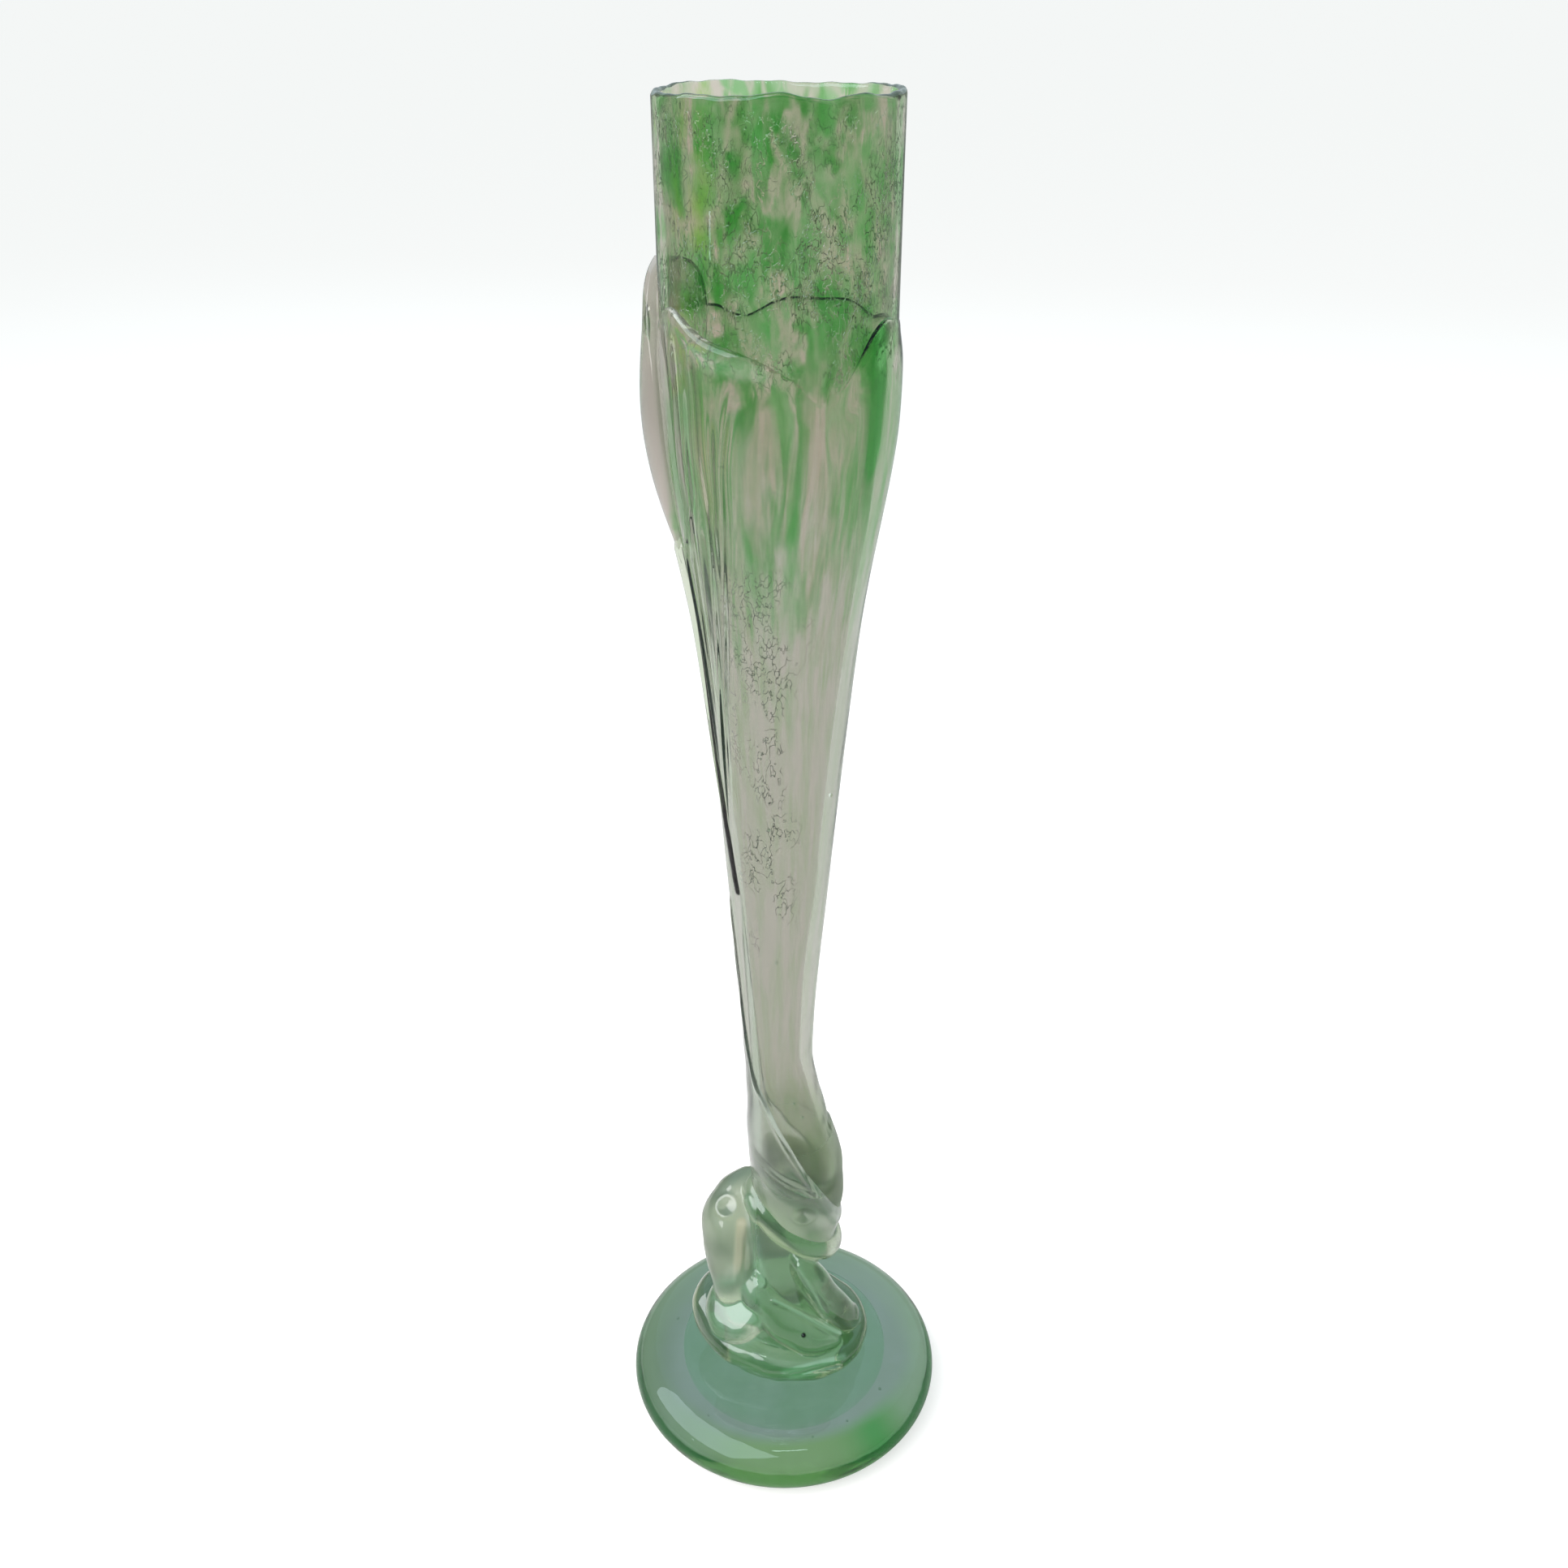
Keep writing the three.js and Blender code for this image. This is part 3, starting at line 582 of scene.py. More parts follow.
def socket(node: bpy.types.Node, name: str, output: bool = False) -> bpy.types.NodeSocket:
    """The first socket of a node with a name that is in use."""
    places = node.outputs if output else node.inputs
    return next(s for s in places if s.name == name and s.enabled)


@dataclass
class Graph:
    """A node tree with short ways to add nodes to it."""

    tree: bpy.types.NodeTree

    def add(self, kind: str, **settings: object) -> bpy.types.Node:
        """Add a node and set its properties.

        Args:
            kind: The node's type.
            settings: Its properties.

        Returns:
            The node.
        """
        node = self.tree.nodes.new(kind)
        for key, value in settings.items():
            setattr(node, key, value)
        return node

    def feed(self, target: bpy.types.NodeSocket, value: object) -> None:
        """Give a socket a value, or join another socket to it.

        Args:
            target: The input socket.
            value: A value, an output socket, or None to leave it.
        """
        if isinstance(value, bpy.types.NodeSocket):
            self.tree.links.new(value, target)
        elif value is not None:
            target.default_value = value

    def math(self, operation: str, a: object, b: object = None, clamp: bool = False) -> bpy.types.NodeSocket:
        """Add a Math node.

        Args:
            operation: What it works out.
            a: Its first value or socket.
            b: Its second.
            clamp: Whether the result is held between 0 and 1.

        Returns:
            The result's socket.
        """
        node = self.add("ShaderNodeMath", operation=operation, use_clamp=clamp)
        self.feed(node.inputs[0], a)
        self.feed(node.inputs[1], b)
        return node.outputs[0]

    def ramp(
        self, value: object, low: object, high: object, to_low: float = 0, to_high: float = 1
    ) -> bpy.types.NodeSocket:
        """Add a smooth Map Range.

        Args:
            value: The value or socket that is mapped.
            low: Where the ramp starts.
            high: Where it ends.
            to_low: The result at its start.
            to_high: The result at its end.

        Returns:
            The result's socket.
        """
        node = self.add("ShaderNodeMapRange", interpolation_type="SMOOTHSTEP")
        for index, number in enumerate((value, low, high, to_low, to_high)):
            self.feed(node.inputs[index], number)
        return node.outputs[0]

    def mix(self, share: object, a: object, b: object) -> bpy.types.NodeSocket:
        """Add a colour Mix.

        Args:
            share: How much of the second colour there is.
            a: The first colour.
            b: The second.

        Returns:
            The mixed colour's socket.
        """
        node = self.add("ShaderNodeMix", data_type="RGBA")
        self.feed(node.inputs["Factor"], share)
        self.feed(socket(node, "A"), a)
        self.feed(socket(node, "B"), b)
        return socket(node, "Result", output=True)

    def noise(self, place: object, scale: float, detail: float = 2, rough: float = 0.5) -> bpy.types.Node:
        """Add a Noise Texture.

        Args:
            place: Where it is read.
            scale: Its Scale.
            detail: Its Detail.
            rough: Its Roughness.

        Returns:
            The node.
        """
        node = self.add("ShaderNodeTexNoise")
        self.feed(node.inputs["Vector"], place)
        node.inputs["Scale"].default_value = scale
        node.inputs["Detail"].default_value = detail
        node.inputs["Roughness"].default_value = rough
        return node

    def vector(self, x: object, y: object, z: object) -> bpy.types.NodeSocket:
        """Join three numbers to a vector.

        Args:
            x: The first number or socket.
            y: The second.
            z: The third.

        Returns:
            The vector's socket.
        """
        node = self.add("ShaderNodeCombineXYZ")
        for index, number in enumerate((x, y, z)):
            self.feed(node.inputs[index], number)
        return node.outputs[0]


def shader_group(
    name: str, inputs: list[tuple], outputs: list[tuple]
) -> tuple[Graph, dict[str, bpy.types.NodeSocket], bpy.types.Node]:
    """Start a shader node group.

    Args:
        name: The group's name.
        inputs: Its inputs, each with a name, a socket kind and a default.
        outputs: Its outputs, each with a name and a socket kind.

    Returns:
        Its graph, its input sockets by name, and the node that takes its outputs.
    """
    tree = bpy.data.node_groups.new(name, "ShaderNodeTree")
    for label, kind, value in inputs:
        made = tree.interface.new_socket(label, in_out="INPUT", socket_type=kind)
        if value is not None:
            made.default_value = value
    for label, kind in outputs:
        tree.interface.new_socket(label, in_out="OUTPUT", socket_type=kind)
    graph = Graph(tree)
    entry = graph.add("NodeGroupInput")
    leave = graph.add("NodeGroupOutput")
    return graph, {s.name: s for s in entry.outputs if s.name}, leave


# How fast the mottle's pattern rises above and below a height in metres: slower means longer cells.
CELL_KNEE = 0.335
RISE_ABOVE = 0.42
RISE_BELOW = 0.15
CELL_SCALE = 110
SUNNY_CELL = (0.46, 0.64, 0.16, 1)
GREEN_STREAK = (0.4, 0.6, 0.3, 1)


def mottle_group() -> bpy.types.NodeTree:
    """The mottled wall's colour: stretched green cells between grey lines, which run out into streaks.

    Returns:
        The group. Its Place is in metres, and it puts out the wall's Color.
    """
    graph, given, leave = shader_group(
        "mottled wall",
        [
            ("Place", "NodeSocketVector", None),
            ("Line Color", "NodeSocketColor", (0.66, 0.62, 0.55, 1)),
            ("Cell Color", "NodeSocketColor", (0.27, 0.56, 0.25, 1)),
            ("Deep Color", "NodeSocketColor", (0.12, 0.43, 0.1, 1)),
            ("Clear Color", "NodeSocketColor", (0.64, 0.64, 0.57, 1)),
            ("Fade Low", "NodeSocketFloat", 0.262),
            ("Fade High", "NodeSocketFloat", 0.322),
        ],
        [("Color", "NodeSocketColor")],
    )
    apart = graph.add("ShaderNodeSeparateXYZ")
    graph.feed(apart.inputs[0], given["Place"])
    x = graph.math("SUBTRACT", apart.outputs[0], FORM.vessel_axis_x * MM)
    flat = graph.add("ShaderNodeVectorMath", operation="NORMALIZE")
    graph.feed(flat.inputs[0], graph.vector(x, apart.outputs[1], 0))
    round_part = graph.add("ShaderNodeVectorMath", operation="SCALE")
    graph.feed(round_part.inputs[0], flat.outputs[0])
    round_part.inputs["Scale"].default_value = 0.028
    above = graph.math("MULTIPLY", graph.math("MAXIMUM", apart.outputs[2], CELL_KNEE), RISE_ABOVE)
    below = graph.math("MULTIPLY", graph.math("MINIMUM", apart.outputs[2], CELL_KNEE), RISE_BELOW)
    rise = graph.vector(0, 0, graph.math("ADD", above, below))
    place = graph.add("ShaderNodeVectorMath", operation="ADD")
    graph.feed(place.inputs[0], round_part.outputs[0])
    graph.feed(place.inputs[1], rise)
    warp = graph.noise(place.outputs[0], CELL_SCALE, 3, 0.55)
    shift = graph.add("ShaderNodeVectorMath", operation="SUBTRACT")
    graph.feed(shift.inputs[0], warp.outputs["Color"])
    shift.inputs[1].default_value = (0.5, 0.5, 0.5)
    warped = graph.add("ShaderNodeVectorMath", operation="MULTIPLY_ADD")
    graph.feed(warped.inputs[0], shift.outputs[0])
    warped.inputs[1].default_value = (0.009, 0.009, 0.005)
    graph.feed(warped.inputs[2], place.outputs[0])
    edge = graph.add("ShaderNodeTexVoronoi", feature="DISTANCE_TO_EDGE")
    graph.feed(edge.inputs["Vector"], warped.outputs[0])
    edge.inputs["Scale"].default_value = CELL_SCALE
    patches = graph.noise(warped.outputs[0], 150, 3, 0.55)
    green = graph.ramp(patches.outputs["Fac"], 0.39, 0.51)
    lines = graph.ramp(edge.outputs["Distance"], 0.0, 0.14, 0.35, 1.0)
    green = graph.math("MULTIPLY", green, lines)
    streak = graph.noise(warped.outputs[0], 330, 1, 0.5)
    green = graph.math("MULTIPLY", green, graph.ramp(streak.outputs["Fac"], 0.3, 0.6, 0.8, 1.05), clamp=True)
    tone = graph.noise(warped.outputs[0], 105, 2, 0.5)
    depth = graph.ramp(tone.outputs["Fac"], 0.47, 0.6)
    cells = graph.mix(depth, given["Cell Color"], given["Deep Color"])
    at_left = graph.ramp(x, -0.024, -0.008, 1, 0)
    sunny = graph.math("MULTIPLY", graph.ramp(tone.outputs["Fac"], 0.36, 0.46, 1, 0), at_left)
    cells = graph.mix(graph.math("MULTIPLY", sunny, 0.8), cells, SUNNY_CELL)
    wall = graph.mix(green, given["Line Color"], cells)
    slow_rise = graph.math("MULTIPLY", apart.outputs[2], 0.07)
    long_place = graph.vector(apart.outputs[0], apart.outputs[1], slow_rise)
    run = graph.noise(long_place, 330, 2, 0.5)
    ragged = graph.math("MULTIPLY", graph.math("SUBTRACT", run.outputs["Fac"], 0.5), 0.16)
    height = graph.math("ADD", apart.outputs[2], ragged)
    fade = graph.ramp(height, given["Fade Low"], given["Fade High"])
    greener = graph.mix(0.3, given["Clear Color"], GREEN_STREAK)
    clear = graph.mix(graph.ramp(run.outputs["Fac"], 0.5, 0.64), given["Clear Color"], greener)
    graph.feed(leave.inputs["Color"], graph.mix(fade, clear, wall))
    return graph.tree


# The tint that each painted mask brings, in the order in which they are laid, and the tint of the painted
# shade in a wrinkle's crease.
MASK_TINTS = {
    "Tan": (0.86, 0.68, 0.46, 1),
    "Sunny": (0.2, 0.42, 0.12, 1),
    "Deep": (0.035, 0.33, 0.04, 1),
    # Painted highlights and reflections, and a little haze.
    "Milky": (0.92, 1, 0.98, 1),
    # Mostly painted shade, in thin lines along edges and folds.
    "Dark": (0.12, 0.2, 0.1, 1),
}
MARK_TINT = (0.16, 0.24, 0.12, 1)


def tint_group() -> bpy.types.NodeTree:
    """A glass's tint with a slow swirl of a second one, painted shade in the wrinkles' creases, and the
    painted masks.

    Returns:
        The group. Its Place is in metres, and it puts out the Color.
    """
    graph, given, leave = shader_group(
        "glass tint",
        [
            ("Place", "NodeSocketVector", None),
            ("Tint", "NodeSocketColor", (0.6, 0.6, 0.6, 1)),
            ("Swirl", "NodeSocketColor", (0.6, 0.6, 0.6, 1)),
            ("Swirl Share", "NodeSocketFloat", 1.0),
            ("Mark", "NodeSocketFloat", 0.0),
            *((mask, "NodeSocketFloat", 0.0) for mask in MASK_TINTS),
        ],
        [("Color", "NodeSocketColor")],
    )
    long_place = graph.add("ShaderNodeVectorMath", operation="MULTIPLY")
    graph.feed(long_place.inputs[0], given["Place"])
    long_place.inputs[1].default_value = (1, 1, 0.3)
    drift = graph.noise(long_place.outputs[0], 85, 2, 0.5)
    share = graph.math("MULTIPLY", graph.ramp(drift.outputs["Fac"], 0.35, 0.65), given["Swirl Share"])
    colour = graph.mix(share, given["Tint"], given["Swirl"])
    for mask, tint in MASK_TINTS.items():
        colour = graph.mix(given[mask], colour, tint)
    # Painted shade: the tint darkens along each wrinkle's crease.
    faint = graph.math("MULTIPLY", given["Mark"], 0.62)
    graph.feed(leave.inputs["Color"], graph.mix(faint, colour, MARK_TINT))
    return graph.tree


def wrinkle_group() -> bpy.types.NodeTree:
    """The blown wall's unevenness: slow vertical waves, and fine wrinkles where the glass chilled.

    Returns:
        The group. Its Place and the Height that it puts out are in metres, and its Mark is on each crease,
        where the tint paints shade.
    """
    graph, given, leave = shader_group(
        "chilled wrinkles",
        [
            ("Place", "NodeSocketVector", None),
            ("Wave", "NodeSocketFloat", 1.0),
            ("Wrinkle", "NodeSocketFloat", 1.0),
        ],
        [("Height", "NodeSocketFloat"), ("Mark", "NodeSocketFloat")],
    )
    stretch = graph.add("ShaderNodeVectorMath", operation="MULTIPLY")
    graph.feed(stretch.inputs[0], given["Place"])
    stretch.inputs[1].default_value = (1, 1, 0.16)
    wave = graph.noise(stretch.outputs[0], 120, 1, 0.4)
    wave_height, wrinkle_height = 0.0003, 0.00042
    slow = graph.math("MULTIPLY", wave.outputs["Fac"], graph.math("MULTIPLY", given["Wave"], wave_height))
    fine = graph.add("ShaderNodeVectorMath", operation="MULTIPLY")
    graph.feed(fine.inputs[0], given["Place"])
    fine.inputs[1].default_value = (1, 1, 0.5)
    lines = graph.noise(fine.outputs[0], 620, 2, 0.5)
    ridge = graph.math("ABSOLUTE", graph.math("SUBTRACT", lines.outputs["Fac"], 0.5))
    crease = graph.ramp(ridge, 0.0, 0.022, 1, 0)
    patch = graph.noise(fine.outputs[0], 130, 2, 0.5)
    where = graph.ramp(patch.outputs["Fac"], 0.46, 0.55)
    marks = graph.math("MULTIPLY", graph.math("MULTIPLY", crease, where), given["Wrinkle"])
    graph.feed(leave.inputs["Mark"], marks)
    raised = graph.math("MULTIPLY", marks, wrinkle_height)
    graph.feed(leave.inputs["Height"], graph.math("ADD", slow, raised))
    return graph.tree


# Finishes


# Where a backed gather starts to show the mottled wall, in x, and where it stands free above the lip,
# in z. Both are in metres.
WALL_LEFT = (-0.0285, -0.0265)
LIP_LEFT = (0.3495, 0.3535)
FREE_TINT = (0.88, 0.9, 0.84, 1)


class Pattern(Enum):
    """What a glass finish shows besides its own tint."""

    MOTTLED = "mottled"
    BACKED = "backed by the mottled wall"
    PLAIN = "plain"


@dataclass(frozen=True)
class GlassFinish:
    """One kind of glass.

    The tint is what its surfaces let through, and the loss is how fast red, green and blue fade in it,
    per metre.
    """

    name: str
    tint: tuple[float, float, float]
    swirl: tuple[float, float, float]
    loss: tuple[float, float, float] = (20, 16, 22)
    pattern: Pattern = Pattern.PLAIN
    wave: float = 1.0
    coat: float = 0.0
    cloud: float = 0.0
    lustre: float = 0.8
    fused: bool = True
    ior: float = GLASS_IOR

    def build(self, groups: dict[str, bpy.types.NodeTree]) -> bpy.types.Material:
        """Make the material.

        Args:
            groups: The shader node groups by name.

        Returns:
            The material.
        """
        material = bpy.data.materials.new(self.name)
        material.use_nodes = True
        material.node_tree.nodes.clear()
        graph = Graph(material.node_tree)
        output = graph.add("ShaderNodeOutputMaterial")
        glass = graph.add("ShaderNodeBsdfPrincipled")
        graph.feed(output.inputs["Surface"], glass.outputs["BSDF"])
        place = graph.add("ShaderNodeTexCoord").outputs["Object"]
        glass.inputs["Transmission Weight"].default_value = 1
        glass.inputs["IOR"].default_value = self.ior
        glass.inputs["Coat Weight"].default_value = self.coat
        glass.inputs["Specular IOR Level"].default_value = self.lustre
        glass.inputs["Specular Tint"].default_value = (*LUSTRE_TINT, 1)
        uneven = graph.add("ShaderNodeGroup", node_tree=groups["wrinkles"])
        graph.feed(uneven.inputs["Place"], place)
        uneven.inputs["Wave"].default_value = self.wave
        chill = graph.add("ShaderNodeAttribute", attribute_name="chill")
        graph.feed(uneven.inputs["Wrinkle"], chill.outputs["Fac"])
        graph.feed(glass.inputs["Base Color"], self.colour(graph, groups, place, uneven.outputs["Mark"]))
        haze = graph.noise(place, 45, 2).outputs["Fac"]
        polish = graph.ramp(haze, 0.35, 0.7, self.cloud * 0.7, self.cloud + 0.03)
        cloud = graph.add("ShaderNodeAttribute", attribute_name="cloud")
        graph.feed(glass.inputs["Roughness"], graph.math("MAXIMUM", polish, cloud.outputs["Fac"]))
        clear = graph.add("ShaderNodeAttribute", attribute_name="clear_by")
        if self.fused:
            graph.feed(glass.inputs["Alpha"], graph.ramp(clear.outputs["Fac"], -MELT_EDGE, MELT_EDGE))
        relief = graph.add("ShaderNodeBump")
        relief.inputs["Strength"].default_value = 1
        relief.inputs["Distance"].default_value = 1
        graph.feed(relief.inputs["Height"], uneven.outputs["Height"])
        graph.feed(glass.inputs["Normal"], relief.outputs["Normal"])
        density = max(self.loss)
        if density:
            inside = graph.add("ShaderNodeVolumeAbsorption")
            inside.inputs["Color"].default_value = (*(1 - rate / density for rate in self.loss), 1)
            inside.inputs["Density"].default_value = density
            graph.feed(output.inputs["Volume"], inside.outputs["Volume"])
        return material

    def colour(
        self,
        graph: Graph,
        groups: dict[str, bpy.types.NodeTree],
        place: bpy.types.NodeSocket,
        mark: bpy.types.NodeSocket,
    ) -> bpy.types.NodeSocket:
        """The tint over the glass's surface, with its pattern and its painted masks.

        Args:
            graph: The material's graph.
            groups: The shader node groups by name.
            place: The socket with the places on the object.
            mark: The socket with the wrinkles' marks.

        Returns:
            The colour's socket.
        """
        tint = graph.add("ShaderNodeGroup", node_tree=groups["tint"])
        graph.feed(tint.inputs["Place"], place)
        graph.feed(tint.inputs["Mark"], mark)
        tint.inputs["Swirl"].default_value = (*self.swirl, 1)
        tint.inputs["Tint"].default_value = (*self.tint, 1)
        for mask in MASK_TINTS:
            painted = graph.add("ShaderNodeAttribute", attribute_name=mask.lower())
            graph.feed(tint.inputs[mask], painted.outputs["Fac"])
        if self.pattern is not Pattern.PLAIN:
            wall = graph.add("ShaderNodeGroup", node_tree=groups["mottle"])
            graph.feed(wall.inputs["Place"], place)
            wall.inputs["Clear Color"].default_value = (*self.tint, 1)
            tint.inputs["Swirl Share"].default_value = 0.2
            colour = wall.outputs["Color"]
            if self.pattern is Pattern.BACKED:
                apart = graph.add("ShaderNodeSeparateXYZ")
                graph.feed(apart.inputs[0], place)
                before_wall = graph.ramp(apart.outputs[0], *WALL_LEFT)
                above_lip = graph.ramp(apart.outputs[2], *LIP_LEFT)
                colour = graph.mix(above_lip, colour, FREE_TINT)
                colour = graph.mix(before_wall, (*self.tint, 1), colour)
            graph.feed(tint.inputs["Tint"], colour)
        return tint.outputs["Color"]


MOTTLED = GlassFinish("mottled_glass", (0.71, 0.69, 0.65), (0.67, 0.67, 0.61), (24, 21, 25), Pattern.MOTTLED)
STREAKED = GlassFinish(
    "streaked_clear_glass", (0.71, 0.69, 0.65), (0.67, 0.67, 0.61), (24, 21, 25), Pattern.BACKED
)
LEAF = GlassFinish(
    "leaf_glass", (0.52, 0.47, 0.43), (0.5, 0.46, 0.42), (7, 6, 8), Pattern.BACKED, ior=1.06, coat=0.8
)
CLEAR = GlassFinish("clear_glass", (0.74, 0.79, 0.68), (0.66, 0.75, 0.6), (8, 6, 10), ior=1.06, coat=0.8)
WRAP = GlassFinish("wrap_glass", (0.73, 0.75, 0.7), (0.67, 0.74, 0.65), (10, 8, 11), coat=1.0, cloud=0.24)
PALE = GlassFinish(
    "pale_green_glass", (0.42, 0.48, 0.36), (0.34, 0.43, 0.27), (5, 3, 7), coat=1.0, cloud=0.24
)
FOOT_GLASS = GlassFinish(
    "foot_glass", (0.265, 0.345, 0.34), (0.245, 0.33, 0.305), (14, 9, 13), wave=0.4, lustre=1.0
)
CORE_GLASS = GlassFinish(
    "green_core_glass", (0.88, 1, 0.9), (0.82, 0.97, 0.84), (10, 0, 7), ior=1.02, wave=0.0, fused=False
)
SEED_GLASS = GlassFinish("seed_glass", (0.8, 0.86, 0.8), (0.7, 0.8, 0.7), (0, 0, 0), ior=1.2, fused=False)
GRIT = GlassFinish("grit", (0.012, 0.014, 0.01), (0.05, 0.05, 0.04), (0, 0, 0), fused=False)


# Geometry Nodes


def tree_sockets(tree: bpy.types.NodeTree, inputs: list[tuple]) -> dict[str, str]:
    """Give a geometry tree its sockets.

    Args:
        tree: The tree.
        inputs: Its inputs after Geometry, as (name, kind, default).

    Returns:
        The inputs' identifiers by name.
    """
    tree.interface.new_socket("Geometry", in_out="OUTPUT", socket_type="NodeSocketGeometry")
    found = {}
    for label, kind, value in [("Geometry", "NodeSocketGeometry", None), *inputs]:
        made = tree.interface.new_socket(label, in_out="INPUT", socket_type=kind)
        if value is not None:
            made.default_value = value
        found[label] = made.identifier
    return found


def put_out(
    graph: Graph, shape: bpy.types.NodeSocket, glass: bpy.types.NodeSocket, leave: bpy.types.Node
) -> None:
    """Turn a tree's result into plain faces of a glass, and put it out.

    Args:
        graph: The tree's graph.
        shape: The result.
        glass: The glass's socket.
        leave: The node that takes the tree's outputs.
    """
    whole = graph.add("GeometryNodeRealizeInstances")
    dressed = graph.add("GeometryNodeSetMaterial")
    graph.feed(whole.inputs["Geometry"], shape)
    graph.feed(dressed.inputs["Geometry"], whole.outputs["Geometry"])
    graph.feed(dressed.inputs["Material"], glass)
    graph.feed(leave.inputs["Geometry"], dressed.outputs["Geometry"])


class RopeTree:
    """Draws a rope of glass along a line of points, each with its own girth."""

    def __init__(self) -> None:
        """Build the tree."""
        self.tree = bpy.data.node_groups.new("glass rope", "GeometryNodeTree")
        self.sockets = tree_sockets(
            self.tree,
            [("Sides", "NodeSocketInt", 40), ("Glass", "NodeSocketMaterial", None)],
        )
        graph = Graph(self.tree)
        entry, leave = graph.add("NodeGroupInput"), graph.add("NodeGroupOutput")
        curve = graph.add("GeometryNodeMeshToCurve")
        girth = graph.add("GeometryNodeInputNamedAttribute", data_type="FLOAT")
        girth.inputs["Name"].default_value = "girth"
        round_section = graph.add("GeometryNodeCurvePrimitiveCircle")
        round_section.inputs["Radius"].default_value = 1
        body = graph.add("GeometryNodeCurveToMesh")
        body.inputs["Fill Caps"].default_value = True
        graph.feed(curve.inputs["Mesh"], entry.outputs["Geometry"])
        graph.feed(round_section.inputs["Resolution"], entry.outputs["Sides"])
        graph.feed(body.inputs["Curve"], curve.outputs["Curve"])
        graph.feed(body.inputs["Scale"], socket(girth, "Attribute", output=True))
        graph.feed(body.inputs["Profile Curve"], round_section.outputs["Curve"])
        put_out(graph, body.outputs["Mesh"], entry.outputs["Glass"], leave)

    def draw(self, name: str, path: Points, girth: Points, material: bpy.types.Material) -> bpy.types.Object:
        """Draw one rope.

        Args:
            name: The piece's name.
            path: The points along its middle, in millimetres.
            girth: Its radius at each of them.
            material: Its glass.

        Returns:
            The rope as a plain mesh object.
        """
        mesh = bpy.data.meshes.new(name)
        edges = [(i, i + 1) for i in range(len(path) - 1)]
        mesh.from_pydata((path * MM).tolist(), edges, [])
        layer = mesh.attributes.new("girth", "FLOAT", "POINT")
        layer.data.foreach_set("value", np.asarray(girth * MM, np.float32))
        return run_tree(name, mesh, self.tree, {self.sockets["Glass"]: material})


class SeedTree:
    """Puts a small round seed in the glass at each of some points, each a different size."""

    def __init__(self) -> None:
        """Build the tree."""
        self.tree = bpy.data.node_groups.new("seeds in the glass", "GeometryNodeTree")
        self.sockets = tree_sockets(
            self.tree,
            [
                ("Radius", "NodeSocketFloat", 0.0004),
                ("Spread", "NodeSocketFloat", 0.5),
                ("Glass", "NodeSocketMaterial", None),
            ],
        )
        graph = Graph(self.tree)
        entry, leave = graph.add("NodeGroupInput"), graph.add("NodeGroupOutput")
        ball = graph.add("GeometryNodeMeshIcoSphere")
        ball.inputs["Subdivisions"].default_value = 3
        graph.feed(ball.inputs["Radius"], entry.outputs["Radius"])
        size = graph.add("FunctionNodeRandomValue", data_type="FLOAT")
        graph.feed(socket(size, "Min"), graph.math("SUBTRACT", 1, entry.outputs["Spread"]))
        graph.feed(socket(size, "Max"), graph.math("ADD", 1, entry.outputs["Spread"]))
        size.inputs["Seed"].default_value = 11
        laid = graph.add("GeometryNodeInstanceOnPoints")
        graph.feed(laid.inputs["Points"], entry.outputs["Geometry"])
        graph.feed(laid.inputs["Instance"], ball.outputs["Mesh"])
        graph.feed(laid.inputs["Scale"], socket(size, "Value", output=True))
        put_out(graph, laid.outputs["Instances"], entry.outputs["Glass"], leave)

    def scatter(
        self, name: str, places: Points, radius: float, material: bpy.types.Material
    ) -> bpy.types.Object:
        """Put a seed at each of some places.

        Args:
            name: The piece's name.
            places: The places, in millimetres.
            radius: A seed's usual radius.
            material: Its glass.

        Returns:
            The seeds as one plain mesh object.
        """
        mesh = bpy.data.meshes.new(name)
        mesh.from_pydata((np.asarray(places, float) * MM).tolist(), [], [])
        values = {self.sockets["Glass"]: material, self.sockets["Radius"]: radius * MM}
        return run_tree(name, mesh, self.tree, values)


def run_tree(
    name: str, mesh: bpy.types.Mesh, tree: bpy.types.NodeTree, values: dict[str, object]
) -> bpy.types.Object:
    """Run a geometry tree on a mesh and keep the result as a plain mesh.

    Args:
        name: The piece's name.
        mesh: What the tree works on.
        tree: The geometry tree.
        values: The modifier's inputs by their identifiers.

    Returns:
        The object with the tree's result, and no modifier.
    """
    piece = bpy.data.objects.new(name, mesh)
    bpy.context.scene.collection.objects.link(piece)
    modifier = piece.modifiers.new(tree.name, "NODES")
    modifier.node_group = tree
    for identifier, value in values.items():
        modifier[identifier] = value
    bake(piece)
    piece.data.shade_smooth()
    return piece


# Sub-assemblies


@dataclass
class Workshop:
    """What the sub-assemblies share: the finishes, the trees and the pieces made so far."""

    glass: dict[str, bpy.types.Material]
    ropes: RopeTree
    seeds: SeedTree
    fused: list[bpy.types.Object] = field(default_factory=list)

    def finish(self, piece: bpy.types.Object, nodes: str | tuple, slot: str, fused: bool = True) -> None:
        """Let a piece ride on the vase, name what it stands for, and report it.

        Args:
            piece: The finished piece.
            nodes: The CAD node or nodes that it replaces, or none of them for a detail.
            slot: The record's material slot, which is not used.
            fused: Whether it is melted to its neighbours.
        """
        names = (nodes,) if isinstance(nodes, str) else nodes
        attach(piece, "root")
        if names:
            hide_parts(*names)
        if fused:
            self.fused.append(piece)
        label = ", ".join(names) or "a detail"
        LOG.info("%s: %d faces, for %s", piece.name, len(piece.data.polygons), label)


